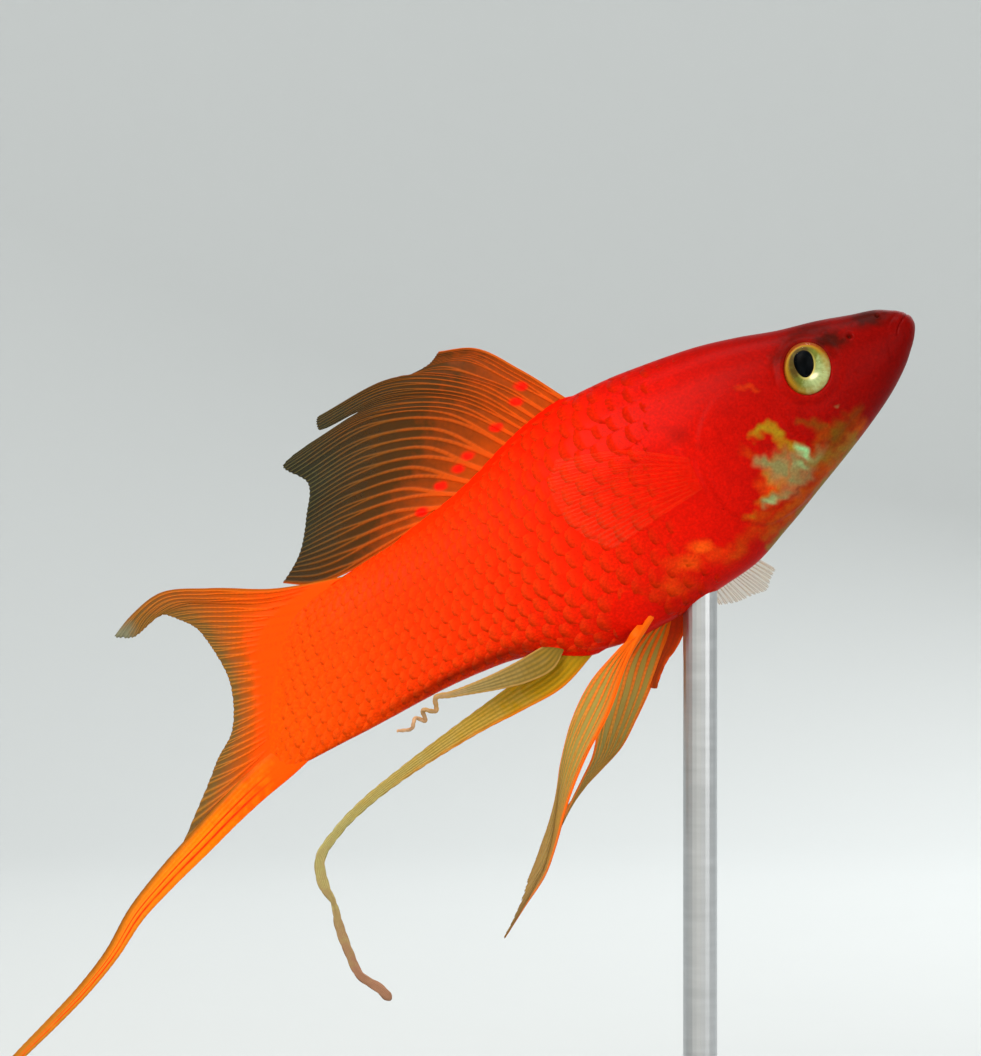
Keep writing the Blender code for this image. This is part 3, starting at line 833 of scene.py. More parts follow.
@dataclass(frozen=True)
class CorneaFinish(Finish):
    """Clear wet cornea: nothing but its smooth glint, stronger where it turns away."""

    film_mm: float = 1.5

    def make(self) -> Material:
        """Build the material.

        Returns:
            The material.
        """
        tree, place = self.open()
        film = add(tree, "TexNoise", {"Vector": place, "Scale": 1 / (self.film_mm * MM)})
        wet = add(tree, "MapRange", {0: (film, "Fac"), 1: 0.3, 2: 0.7, 3: 0.02, 4: 0.05})
        glint = add(tree, "BsdfGlossy", {"Roughness": wet})
        clear = add(tree, "BsdfTransparent")
        edge = add(tree, "Fresnel", {"IOR": 1.06})
        gloss = add(tree, "Math", {0: edge, 1: 0.3}, operation="MULTIPLY")
        return self.close(tree, add(tree, "MixShader", {0: gloss, 1: clear, 2: glint}))


@dataclass(frozen=True)
class BoardFinish(Finish):
    """Matt lacquered beech board, near black: faint grain, soft sheen, a few rubbed flecks."""

    colour: str = "#1E2022"
    worn: str = "#34373A"
    grain_mm: float = 6.0  # along the grain, nine times finer across it

    def make(self) -> Material:
        """Build the material.

        Returns:
            The material.
        """
        tree, place = self.open()
        long = add(tree, "Mapping", {"Vector": place, "Scale": (1.0, 9.0, 9.0)})
        grain = add(tree, "TexNoise", {"Vector": long, "Scale": 1 / (self.grain_mm * MM), "Detail": 5.0})
        stops = [(0.35, linear(self.colour)), (0.75, linear(self.worn))]
        tint = add(tree, "ValToRGB", {"Fac": (grain, "Fac")}, stops=stops)
        rough = add(tree, "MapRange", {0: (grain, "Fac"), 1: 0.3, 2: 0.7, 3: 0.42, 4: 0.58})
        bump = add(tree, "Bump", {"Height": (grain, "Fac"), "Strength": 0.3, "Distance": 0.05 * MM})
        sockets = {"Base Color": tint, "Roughness": rough, "Normal": bump}
        return self.close(tree, add(tree, "BsdfPrincipled", sockets))


@dataclass(frozen=True)
class SteelFinish(Finish):
    """Drawn stainless rod, satin polished: faint rings round it from the polishing cloth."""

    tints: tuple[str, str] = ("#BCBEC0", "#C8CACC")
    ring_mm: float = 5.0  # across the rod, six times finer along it: drawn coarse, so that they show

    def make(self) -> Material:
        """Build the material.

        Returns:
            The material.
        """
        tree, place = self.open()
        rings = add(tree, "Mapping", {"Vector": place, "Scale": (1.0, 1.0, 6.0)})
        lines = add(tree, "TexNoise", {"Vector": rings, "Scale": 1 / (self.ring_mm * MM), "Detail": 3.0})
        rough = add(tree, "MapRange", {0: (lines, "Fac"), 1: 0.3, 2: 0.7, 3: 0.3, 4: 0.36})
        stops = [(0.3, linear(self.tints[0])), (0.7, linear(self.tints[1]))]
        tint = add(tree, "ValToRGB", {"Fac": (lines, "Fac")}, stops=stops)
        sockets = {"Base Color": tint, "Metallic": 1.0, "Roughness": rough}
        return self.close(tree, add(tree, "BsdfPrincipled", sockets))


@dataclass(frozen=True)
class PaperFinish(Finish):
    """Pale seamless paper of a studio sweep: matt, with the slightest mottling."""

    colour: str = "#C6CACA"
    mottle_mm: float = 40.0

    def make(self) -> Material:
        """Build the material.

        Returns:
            The material.
        """
        tree, place = self.open()
        mottle = add(tree, "TexNoise", {"Vector": place, "Scale": 1 / (self.mottle_mm * MM), "Detail": 3.0})
        rough = add(tree, "MapRange", {0: (mottle, "Fac"), 1: 0.3, 2: 0.7, 3: 0.85, 4: 0.95})
        sockets = {"Base Color": linear(self.colour), "Roughness": rough}
        return self.close(tree, add(tree, "BsdfPrincipled", sockets))


# ---- skin and scales


@dataclass(frozen=True)
class Patch:
    """A soft oval mark: middle, half sizes along and across, and its turn in degrees."""

    s: float
    t: float
    long: float
    wide: float
    turn: float = 0.0
    strength: float = 1.0

    def at(self, s: Array, t: Array) -> Array:
        """Strength at a place: a bell of the oval's own distance."""
        along, across = turned(s - self.s, t - self.t, math.radians(self.turn))
        return self.strength * np.exp(-((along / self.long) ** 2) - (across / self.wide) ** 2)


@dataclass(frozen=True)
class Streak:
    """A soft line mark along points: its half width, its strength and the share its ends fade over."""

    line: Line
    wide: float
    strength: float = 1.0
    fade: float = 0.0

    def at(self, s: Array, t: Array) -> Array:
        """Strength at a place: a bell of the distance to the line, less where the ends fade.

        Args:
            s: Tail-ward places.
            t: Heights.

        Returns:
            One strength for each place.
        """
        far, run = to_line(s, t, self.line)
        ends = smoothstep(0, self.fade, run) * smoothstep(1, 1 - self.fade, run) if self.fade else 1
        return self.strength * bell(far, self.wide) * ends


@dataclass(frozen=True)
class Marks:
    """Colour markings of the fish, and some painted shade, as fields of place, the same for skin and scales.
    """

    groups: dict[str, tuple[Patch | Streak, ...]] = field(default_factory=lambda: {
        "glow": (
            Patch(26.0, -7.8, 1.2, 0.6, 30, 0.6), Patch(27.9, -8.3, 1.4, 0.7, 20, 0.5),
            Patch(24.4, -9.4, 1.8, 0.7, 20, 0.3), Patch(29.8, -9.6, 2.4, 1.0, 20, 0.25),
            Patch(15.8, 2.4, 1.3, 0.45, 35, 0.18), Patch(17.0, -5.9, 1.9, 1.4, -30, 0.6),
        ),
        "rust": (
            Streak(
                ((8.6, -5.4), (11.2, -6.7), (13.2, -7.4), (15.4, -8.3), (17.6, -8.9), (20.2, -9.6)),
                0.75, 0.85,
            ),
            Patch(19.8, -8.1, 1.9, 0.7, -20, 0.65), Patch(12.2, -4.7, 1.7, 0.6, -30, 0.6),
            Patch(18.4, -2.7, 1.0, 0.5, 60, 0.4), Patch(22.6, -9.4, 2.2, 0.8, -25, 0.4),
        ),
        "throat": (
            Patch(10.8, -5.0, 1.8, 0.85, -22, 0.95), Patch(8.6, -4.4, 1.2, 0.6, -30, 0.5),
            Streak(((13.3, -2.3), (12.4, -3.1), (11.4, -3.9)), 0.42, 0.5),
        ),
        "olive": (
            Streak(((9.4, -6.1), (11.2, -6.5), (12.6, -6.2), (13.8, -6.1)), 0.65, 0.7),
            Streak(((9.8, -6.7), (12.0, -7.65), (15.0, -8.95), (18.0, -10.1), (20.5, -11.0)), 0.42, 0.8),
            Patch(16.1, -4.1, 0.8, 0.4, 0, 0.6),
        ),
        "amber": (
            Streak(
                ((17.1, -1.5), (15.9, -1.45), (15.3, -2.3), (15.4, -3.1), (14.9, -3.9), (14.2, -4.3)),
                0.42, 0.95,
            ),
            Patch(17.7, -5.3, 0.5, 0.9, 0, 0.7), Patch(17.1, -6.5, 0.9, 0.4, -40, 0.7),
            Patch(18.9, -6.9, 0.9, 0.36, 0, 0.8), Patch(20.8, -7.6, 0.6, 0.4, 20, 0.55),
        ),
        "khaki": (
            Patch(16.4, -5.2, 1.3, 1.1, -35, 1.2), Patch(15.7, -6.4, 1.4, 0.95, -30, 1.2),
            Patch(14.7, -6.8, 1.1, 0.55, -25, 0.8),
            Streak(((17.9, -3.9), (17.0, -4.5), (16.0, -5.2)), 0.5, 0.85),
            Streak(((15.0, -4.8), (14.8, -5.8), (14.4, -6.4)), 0.6, 0.9),
            Streak(((16.8, -7.3), (17.9, -7.25), (19.1, -7.1)), 0.36, 0.95),
            Patch(13.2, -5.9, 1.2, 0.42, -30, 0.6), Patch(16.7, -7.0, 0.6, 0.5, 0, 0.8),
            Patch(9.6, -2.9, 0.3, 0.22, 0, 0.45),
        ),
        "mint": (
            Patch(14.05, -4.9, 0.8, 0.38, 74, 1.0), Patch(14.9, -5.9, 0.7, 0.3, 60, 0.4),
            Patch(18.7, -7.2, 0.5, 0.2, 10, 0.7),
        ),
        "dark": (
            # painted shade: the brow's shadow over the eye
            Streak(((12.0, 3.2), (10.6, 3.9), (8.8, 4.1), (7.4, 3.4), (6.9, 2.4)), 0.85, 0.62),
            Patch(7.4, 2.5, 1.5, 0.95, 30, 1.3), Patch(3.2, 2.5, 1.7, 0.7, 20, 1.0),
            Patch(5.2, 2.9, 1.3, 0.5, 25, 0.5),
            Patch(16.7, -3.0, 0.8, 0.35, 20, 0.3), Patch(16.4, -7.7, 1.6, 0.18, -5, 0.3),
            Patch(23.1, 1.6, 1.3, 0.8, 40, 0.3), Patch(22.0, 0.0, 0.9, 0.5, 40, 0.24),
            Streak(((23.4, 1.4), (27.0, 1.2), (32.0, 1.0)), 0.8, 0.15),
            Patch(12.8, -1.4, 0.8, 1.5, 0, 0.16),
        ),
    })
    tone_span: float = 66.0
    keel_start: float = 39.5
    keel_end: float = 60.0
    stray: float = 0.15
    stray_pitch: float = 1.9

    def wander(self, s: Array, t: Array) -> tuple[Array, Array]:
        """Small shifts of the places at which marks are read, so that no border runs smooth.

        Each is a sum of sines along turned directions, each with half the pitch of the one before
        and two thirds of its reach.

        Args:
            s: Tail-ward places.
            t: Heights.

        Returns:
            The shifts of s and of t.
        """
        shift = [np.zeros_like(s), np.zeros_like(s)]
        for k, turn in enumerate((0.3, 1.5)):
            wave = 2 * math.pi / (self.stray_pitch * 0.53**k)
            along, across = turned(s, t, turn)
            reach = self.stray * 0.66**k
            shift[0] += reach * np.sin(wave * along + 1.7 * np.sin(wave * 0.43 * across + k))
            shift[1] += reach * np.sin(wave * across + 1.7 * np.sin(wave * 0.37 * along + 2 * k))
        return shift[0], shift[1]

    def fields(self, form: BodyForm, place: Array) -> dict[str, Array]:
        """Every marking at the given points, with painted shade added to the dark field.

        Args:
            form: The body, for its belly line.
            place: Points with s, y and t last.

        Returns:
            For each field's name, its strength at each point.
        """
        s, t = place[..., 0], place[..., 2]
        ds, dt = self.wander(s, t)
        found = {
            key: np.clip(np.max([m.at(s + ds, t + dt) for m in group], axis=0), 0, 1)
            for key, group in self.groups.items()
        }
        back, belly = form.station(s)[:2]
        above = t - belly
        # painted shade of the underside: a dark line just over the belly's edge, from the anal fin to the
        # tail
        keel_shade = bell(above - 0.75, 0.5) * smoothstep(self.keel_start, self.keel_start + 5, s)
        keel_shade *= 1 - smoothstep(self.keel_end - 8, self.keel_end, s)
        # deeper red underneath, and twice as deep where the pelvic fins stand
        under = smoothstep(3.0, 0.2, above) * smoothstep(34, 26, s)
        under += 2.0 * smoothstep(7.5, 1.0, above) * smoothstep(25, 31, s) * smoothstep(47, 37, s)
        # a darker crown along the back, which fades tail-wards
        crown = smoothstep(1.6, 0.1, back - t)
        found["tone"] = s / self.tone_span - 0.05 * crown * smoothstep(50, 20, s) - 0.05 * under
        found["dark"] = np.clip(found["dark"] + 0.7 * keel_shade + 0.16 * crown * (s < 30), 0, 1)
        return found


@dataclass
class Skin:
    """The one skin of head, trunk and tail stalk, with the head's folds worked into it.

    Rings, brow, lips, grooves and pore are rows of a distance from their edge, line or middle, a
    half width and a height; a nostril's first two are in its radii. The gill flap's pair is its
    height and how far it reaches forward, the throat rays' their height and radians a millimetre.
    """

    form: BodyForm
    marks: Marks
    rows: tuple[int, int] = (250, 70)
    columns: int = 300
    head_end: float = 25.0
    eye_radius: float = 2.28
    eye_rings: Line = ((0.28, 0.26, 0.08), (0.95, 0.28, -0.05))
    brow: Line = ((2.8, 0.5, 0.1),)
    brow_grows: Pair = (0.6, 2.2)
    socket: float = 2.2
    socket_wall: Pair = (0.04, -0.5)
    mouth: Line = ((-1.0, 1.5), (-0.1, 1.27), (0.7, 1.0), (1.45, 0.5), (1.95, -0.15))
    slit: Triple = (0.05, 0.07, 0.06)  # depth in front, what it gains, half width
    lips: Line = ((0.24, 0.18, 0.03), (-0.3, 0.22, 0.045))
    gill_edge: Line = (
        (14.6, 3.0), (16.8, 3.1), (19.6, 2.4), (21.5, 0.7), (22.5, -1.9), (22.6, -4.6),
        (21.8, -7.0), (19.8, -8.9), (16.8, -9.0), (13.4, -7.8), (10.0, -6.5),
    )
    gill_flap: Pair = (0.12, 5.0)
    gill_grooves: Line = ((0.25, 0.24, -0.03), (-0.7, 0.25, -0.015))
    throat_rays: Pair = (0.03, 7.5)
    cheek_edge: Line = (
        (13.0, 2.4), (13.9, 0.8), (14.3, -1.6), (13.7, -4.0), (11.9, -5.3), (8.6, -4.5), (6.0, -3.4),
    )
    cheek_groove: Line = ((-0.35, 0.36, 0.04), (0.0, 0.2, -0.045))
    bumps: tuple[Patch | Streak, ...] = (
        # folds behind the jaw and over the lip, and the edge of the gill cover's lower plate
        Streak(((2.1, 0.5), (2.75, -0.2), (3.2, -1.2), (3.1, -2.6)), 0.2, -0.05, 0.2),
        Streak(((0.5, 1.75), (1.5, 1.5), (2.4, 0.9), (2.8, 0.0)), 0.16, -0.045, 0.2),
        Streak(((14.2, -3.2), (16.6, -5.0), (19.4, -6.6), (21.4, -7.2)), 0.17, -0.04, 0.2),
        # cheek muscle and the root of the pectoral fin
        Patch(11.9, -2.3, 2.2, 2.2 / 1.2, 0, 0.16), Patch(23.5, -1.9, 0.8, 2.2, 0, 0.24),
    )
    nostrils: Line = ((2.5, 2.35, 0.16), (5.6, 1.95, 0.22))
    nostril: Line = ((1.6, 0.6, 0.05), (0.0, 1.0, -0.3))
    pores: Line = (
        (7.3, 3.4), (8.7, 4.3), (10.9, 4.5), (12.9, 3.8), (13.7, 2.1), (13.2, -0.7), (11.7, -2.3),
        (9.9, -3.1), (8.2, -2.3), (6.8, -1.1), (4.8, 2.8), (5.4, -2.3), (12.5, -4.3), (9.5, -4.4),
    )
    pore: Line = ((0.0, 0.12, -0.05),)
    pelvic_root: Patch = Patch(33.6, 2.2, 1.5, 1.3, 0, 0.4)
    fin_base: float = 0.34
    fin_bases: Line = (
        # start, full from, full to, end, half width, 1 on the back or -1 on the belly, least height
        (28.8, 30.4, 47.0, 49.5, 0.6, 1, 4.0),
        (37.0, 38.4, 41.2, 42.6, 0.55, -1, 5.0),
    )

    def relief(self, place: Array) -> Array:
        """Height of the head's folds over the smooth form, from bells and steps of distances.

        Args:
            place: Points with s, y and t last.

        Returns:
            Height in millimetres at each point.
        """
        s, y, t = np.moveaxis(place, -1, 0)
        rise = sum(bump.at(s, t) for bump in self.bumps)
        rise += self.mouth_relief(s, t) + self.eye_relief(s, t) + self.gill_relief(s, t)
        for ps, pt, radius in self.nostrils:
            rise += ridges(np.hypot(s - ps, t - pt) / radius, self.nostril)
        for ps, pt in self.pores:
            rise += ridges(np.hypot(s - ps, t - pt), self.pore)
        rise += self.pelvic_root.at(s, np.abs(y)) * (t < -8)
        for start, full, wane, end, wide, way, least in self.fin_bases:
            ridge = smoothstep(start, full, s) * smoothstep(end, wane, s) * (way * t > least)
            rise += self.fin_base * bell(y, wide) * ridge
        return rise

    def mouth_relief(self, s: Array, t: Array) -> Array:
        """The mouth's slit, shallow at the front, between two lips that swell behind it.

        Args:
            s: Tail-ward places.
            t: Heights.

        Returns:
            Height in millimetres at each place.
        """
        far, run = to_line(s, t, self.mouth)
        behind = smoothstep(0.05, 0.4, run)
        deep, gain, wide = self.slit
        rise = ridges(far, self.lips) * behind - (deep + gain * behind) * bell(far, wide)
        return rise * smoothstep(1.0, 0.85, run)

    def eye_relief(self, s: Array, t: Array) -> Array:
        """The orbit: rings round the eye, a brow over it and the socket under it.

        Args:
            s: Tail-ward places.
            t: Heights.

        Returns:
            Height in millimetres at each place.
        """
        fish = self.form.fish
        ds, dt = s - fish.eye[0], t - fish.eye[1]
        level = turned(ds, dt, fish.pitch)[0]
        far = np.sqrt(ds**2 + dt**2 + level**2 * (fish.eye_squash**-2 - 1))
        outer, inner = (self.eye_radius + step for step in self.socket_wall)
        rise = ridges(far - self.eye_radius, self.eye_rings)
        rise += ridges(far, self.brow) * smoothstep(*self.brow_grows, dt)
        return rise - self.socket * smoothstep(outer, inner, far)

    def gill_relief(self, s: Array, t: Array) -> Array:
        """The gill cover's flap and grooves, the cheek's groove and the rays of the throat.

        Args:
            s: Tail-ward places.
            t: Heights.

        Returns:
            Height in millimetres at each place.
        """
        far, run = to_line(s, t, self.gill_edge)
        high, reach = self.gill_flap
        flap = high * np.clip(1 + far / reach, 0, 1) ** 2 * smoothstep(0.2, -0.2, far)
        fade = smoothstep(0.08, 0.5, run) * smoothstep(1.0, 0.75, run)
        rise = fade * (flap + ridges(far, self.gill_grooves))
        low = bell(far + 1.6, 1.1) * smoothstep(-5.4, -7.4, t) * smoothstep(9.5, 12.0, s)
        rise += self.throat_rays[0] * np.sin(far * self.throat_rays[1]) * low
        far, run = to_line(s, t, self.cheek_edge)
        fade = smoothstep(0.0, 0.3, run) * smoothstep(1.0, 0.8, run)
        return rise + fade * ridges(far, self.cheek_groove)

    def build(self) -> Piece:
        """Lay the grid over the form, raise its folds and close both ends with a fan.

        Rows stand closer towards the snout, by a power of their share. Grooves and the eye's socket
        get painted shade in the dark field, by steps of the relief's depth.

        Returns:
            The skin.
        """
        form = self.form
        head = self.head_end * np.linspace(0, 1, self.rows[0] + 1)[:-1] ** 1.25
        body = np.linspace(self.head_end, form.flesh_end, self.rows[1])
        s = np.concatenate([form.snout + 0.002 + head, body])
        v = np.linspace(0, 1, self.columns, endpoint=False)
        s, v = np.meshgrid(s, v, indexing="ij")
        bare = form.section(s, form.turn_at(s, v))
        rise = self.relief(bare)
        place = form.surface(s, v, rise)
        rows, columns = s.shape
        quads = grid_quads(rows, columns, wrap=True)
        points = np.vstack([place.reshape(-1, 3), place[0].mean(0), place[-1].mean(0)])
        caps = cap_fans(rows, columns)
        marks = self.marks.fields(form, points)
        deep = np.r_[rise.ravel(), 0, 0]
        # painted shade: darker in the grooves, and darker still deep in the eye's socket
        groove = smoothstep(-0.09, -0.26, deep) * smoothstep(-0.9, -0.5, deep)
        marks["dark"] = np.clip(marks["dark"] + 0.7 * groove + 0.35 * smoothstep(-0.5, -0.9, deep), 0, 1)
        uv = np.stack([0.02 + 0.96 * (s - s.min()) / np.ptp(s), 0.02 + 0.96 * v], -1).reshape(-1, 2)
        uv = np.vstack([uv, (0.02, 0.5), (0.98, 0.5)])
        world = form.fish.place(points)
        if is_inside_out(world, quads):
            quads, caps = quads[:, ::-1], caps[:, ::-1]
        return dress(add_mesh("skin", world, quads, caps, marks, uv), FleshFinish("live_skin_under_mucus"))


@dataclass
class Scales:
    """Round overlapping scales, in staggered columns from behind the gills to the tail fin.

    Slope, dome and root cut are shares of a scale's radius. The jitters are the spreads of its
    size, of its places tail-wards and round the girth, and of its climb.
    """

    form: BodyForm
    marks: Marks
    lines: int = 30
    start: float = 12.0
    pitch_share: float = 0.9
    radius_share: float = 1.02
    cells: int = 4
    thick: float = 0.014
    slope: float = 0.02
    dome: float = 0.022
    sunk: float = 0.03
    root_cut: float = 0.72
    taper: float = 0.12
    jitters: tuple[float, float, float, float] = (0.04, 0.05, 0.0006, 0.12)
    fin_root: Patch = Patch(23.6, -1.9, 0.8, 2.1)
    front_line: Line = (
        (12.0, 8.5), (13.4, 6.0), (15.2, 4.4), (17.6, 3.7), (20.2, 2.9), (22.1, 1.0), (23.0, -1.9),
        (23.1, -4.6), (22.4, -7.1), (21.2, -9.2), (20.6, -12.8),
    )
    soft: float = 9.0

    def roots(self) -> tuple[Array, Array]:
        """Middles of all scales: columns a half pitch apart, every other one set half a row on.

        Returns:
            Station and girth share of each scale.
        """
        stations = [self.start]
        while stations[-1] < self.form.bulge_end:
            line = float(self.form.girth(np.array(stations[-1]))) / self.lines
            stations.append(stations[-1] + 0.5 * self.pitch_share * line)
        columns = np.array(stations)
        rows = np.arange(self.lines // 2)
        s, row = np.meshgrid(columns, rows, indexing="ij")
        turn = (row + 0.5 * (np.arange(len(columns)) % 2)[:, None]) / (self.lines // 2)
        return s.ravel(), (turn.ravel() + 0.25 / (self.lines // 2)) % 1.0

    def build(self, side: Side) -> Piece:
        """All scales of one flank as one joined mesh.

        A square grid is drawn into a disc by x * sqrt(1 - y * y / 2), and each disc is laid on the
        form, rising evenly from its sunk root to its free rear edge. Near the line where the scales
        begin they are smaller and lie deeper, so that bare skin turns to scaled skin without a step.

        Args:
            side: The flank.

        Returns:
            The joined mesh object.
        """
        rng = np.random.default_rng(SEED)
        s0, v0 = self.roots()
        jitter = rng.normal(0, 1, (4, len(s0)))
        place = self.form.section(s0, self.form.turn_at(s0, v0))
        behind, _ = to_line(place[:, 0], place[:, 2], self.front_line)
        fin = self.fin_root.at(place[:, 0], place[:, 2]) > math.exp(-1)
        chosen = (behind > 0.1) & ~fin & ((v0 < 0.5) == (side is Side.RIGHT))
        s0, v0, jitter, behind = s0[chosen], v0[chosen], jitter[:, chosen], behind[chosen]
        # grown: full-sized scales away from the front line; bold: how far they stand out
        grown = smoothstep(0.0, self.soft, behind) * (1 - 0.5 * smoothstep(61.0, 65.5, s0))
        size, shift, spin, lift = (jitter * np.array(self.jitters)[:, None])[:, :, None, None]
        radius = self.form.girth(s0) / self.lines * self.radius_share * (1 + size[:, 0, 0])
        radius *= 0.7 + 0.3 * grown
        n = self.cells + 1
        x, y = np.meshgrid(np.linspace(-1, 1, n), np.linspace(-1, 1, n), indexing="ij")
        along, across = x * np.sqrt(1 - y * y / 2), y * np.sqrt(1 - x * x / 2)
        along = np.maximum(along, -self.root_cut)
        across = across * (1 - self.taper * np.maximum(along, 0))
        shape = (slice(None), None, None)
        far = s0[shape] + radius[shape] * along + shift
        girth = self.form.girth(np.clip(far, self.form.snout, self.form.end))
        turn = v0[shape] + radius[shape] * across / girth + spin
        far = np.minimum(far, self.form.end)
        bold = (0.35 + 0.65 * grown) * (0.5 + 0.3 * smoothstep(20.0, 38.0, s0))
        bold *= 1 - 0.8 * smoothstep(58.0, 65.0, s0)
        bold = bold[shape]
        climb = self.slope * radius[shape] * (along + self.root_cut) * (1 + lift) * bold
        dome = self.dome * radius[shape] * (1 - y * y) * bold
        under = climb + dome - self.sunk * (0.45 + 0.55 * bold) - 0.012 * (1 - grown[shape])
        over = under + self.thick * (0.4 + 0.6 * bold)
        place = np.stack([self.form.surface(far, turn, high) for high in (over, under)])
        count = len(s0)
        points = np.moveaxis(place, 0, 1).reshape(-1, 3)
        cell = n * n
        one = slab_quads(n, n)
        marks = self.marks.fields(self.form, points)
        rear = 0.25 + 0.75 * smoothstep(24.0, 42.0, s0)
        edge = smoothstep(0.3, 1.0, along) * rear[:, None, None, None] * np.ones((count, 2, 1, 1))
        marks["edge"] = edge.ravel()
        root_u = 0.02 + 0.96 * (s0 - self.form.snout) / (self.form.end - self.form.snout)
        root = np.stack([root_u, 0.02 + 0.96 * v0], -1)[:, None, None, None, :]
        patch = 0.0015 * np.stack([along, across], -1)[None, None]
        uv = (root + patch * np.ones((count, 2, 1, 1, 1))).reshape(-1, 2)
        world = self.form.fish.place(points)
        first = world[: 2 * cell]
        if is_inside_out(first - first.mean(0), one):
            one = one[:, ::-1]
        quads = (one[None] + (np.arange(count) * 2 * cell)[:, None, None]).reshape(-1, 4)
        word = side.name.lower()
        thing = add_mesh(f"scales_{word}", world, quads, fields=marks, uv=uv)
        return dress(thing, FleshFinish(f"cycloid_scales_{word}", scaled=True))


# ---- eyes


@dataclass
class Eye:
    """One eye: a ball with its iris, the lens in the pupil, and the cornea over both.

    Sizes are millimetres from the eye's middle. The cone's pair is the height of its straight and
    of its rounded part, the lens's pair how far it stands out of the iris's edge and half its depth.
    """

    fish: FishFrame
    side: Side
    y: float = 3.34
    radius: float = 2.4
    deep: float = 1.42
    iris: float = 2.19
    pupil: Pair = (1.0, 1.22)
    pupil_shift: Pair = (0.05, 0.55)
    pupil_turn: float = math.radians(20.0)
    egg: float = 0.14
    cone: Pair = (0.34, 0.1)
    lens: Pair = (0.1, 0.42)
    cover: float = 0.68
    cover_edge: float = 0.93
    cover_thick: float = 0.04
    # the iris's painted light is brightest towards this angle
    painted_light_angle: float = -2.03
    # where the painted glint lies on the iris
    fleck: Patch = Patch(-0.3, -0.82, 0.5, 0.24)
    rings: int = 56
    lens_rings: int = 24
    spokes: int = 120
    word: str = field(init=False)
    turn: Array = field(init=False)
    edge: float = field(init=False)

    def __post_init__(self) -> None:
        """Work out what the three pieces share: the spokes' angles and the iris's edge height."""
        self.word = self.side.name.lower()
        self.turn = np.linspace(0, 2 * math.pi, self.spokes, endpoint=False)
        self.edge = self.deep * math.sqrt(1 - (self.iris / self.radius) ** 2)

    def place(self, along: Array, out: Array, up: Array) -> Array:
        """Points of the eye in the stand's metres.

        The eye is a little narrower along the level line of the tilted fish.

        Args:
            along: How far tail-wards of the eye's middle.
            out: How far out from it.
            up: How far towards the back.

        Returns:
            Rows of x, y and z.
        """
        level = turned(along, up, self.fish.pitch)[0] * (1 - self.fish.eye_squash)
        ds, dt = level * math.cos(self.fish.pitch), level * math.sin(self.fish.pitch)
        s, t = self.fish.eye
        y = self.side.value * (self.y + out)
        return self.fish.place(np.stack([s + along - ds, y, t + up - dt], -1))

    def close(self, name: str, points: Array, fields: dict[str, Array], finish: Finish) -> Piece:
        """Join rings of points, close both poles with a fan and give the piece its finish.

        Args:
            name: Name of the piece, without its side.
            points: Rows of x, y and z, ring by ring.
            fields: Attributes, rings by spokes.
            finish: What it is made of.

        Returns:
            The piece.
        """
        rows, columns = len(points) // self.spokes, self.spokes
        quads, caps = grid_quads(rows, columns, wrap=True), cap_fans(rows, columns)
        points = np.vstack([points, points[:columns].mean(0), points[-columns:].mean(0)])
        if is_inside_out(points - points.mean(0), quads):
            quads, caps = quads[:, ::-1], caps[:, ::-1]
        padded = {key: np.r_[v.ravel(), v[0].mean(), v[-1].mean()] for key, v in fields.items()}
        return dress(add_mesh(f"{name}_{self.word}", points, quads, caps, padded), finish)

    def ball(self) -> Piece:
        """The eyeball: its front a shallow cone round the pupil, its back an ellipsoid.

        The iris is painted lightest towards one angle, by a cosine of the angle, and given a painted glint.

        Returns:
            The ball.
        """
        front = np.linspace(0.02, self.iris, self.rings // 2)
        polar = np.linspace(math.asin(self.iris / self.radius), math.pi - 0.03, self.rings // 2)
        steep, round_ = self.cone
        dish = self.edge + steep * (1 - front / self.iris) ** 0.8 * smoothstep(0.2, 1.2, front)
        dish += round_ * (1 - (front / self.iris) ** 2)
        radius = np.r_[front, self.radius * np.sin(polar[1:])]
        height = np.r_[dish, self.deep * np.cos(polar[1:])]
        r, a = np.meshgrid(radius, self.turn, indexing="ij")
        along, up = r * np.cos(a), r * np.sin(a)
        wide, tall = self.pupil
        hole_s, hole_t = turned(along - self.pupil_shift[0], up - self.pupil_shift[1], self.pupil_turn)
        # 1 on the pupil's egg-shaped edge, and the share of the way from there to the iris's rim
        hole = np.hypot(hole_s / (wide * (1 + self.egg * np.clip(hole_t / tall, -1, 1))), hole_t / tall)
        gap = np.clip(hole - 1, 0, None) * wide
        share = gap / (gap + np.clip(self.iris - r, 0, None) + 1e-6)
        share = np.where(np.arange(len(radius))[:, None] >= len(front), 1.0, share)
        fields = {
            "radius": share,
            # painted light on the iris; the last field below is a painted glint
            "light": np.clip(0.4 + 0.6 * np.cos(a - self.painted_light_angle) + 0.1 * bell(hole - 1.4, 0.3), 0, 1),
            # two sets of fine spokes, 37 and 23 round the eye
            "streak": 0.5 + 0.25 * np.sin(37 * a + 3 * np.sin(5 * a)) + 0.25 * np.sin(23 * a + r * 4),
            "shine": self.fleck.at(along, up),
        }
        points = self.place(along, np.repeat(height[:, None], self.spokes, 1), up)
        return self.close("eye_ball", points, fields, IrisFinish(f"guanine_iris_{self.word}"))

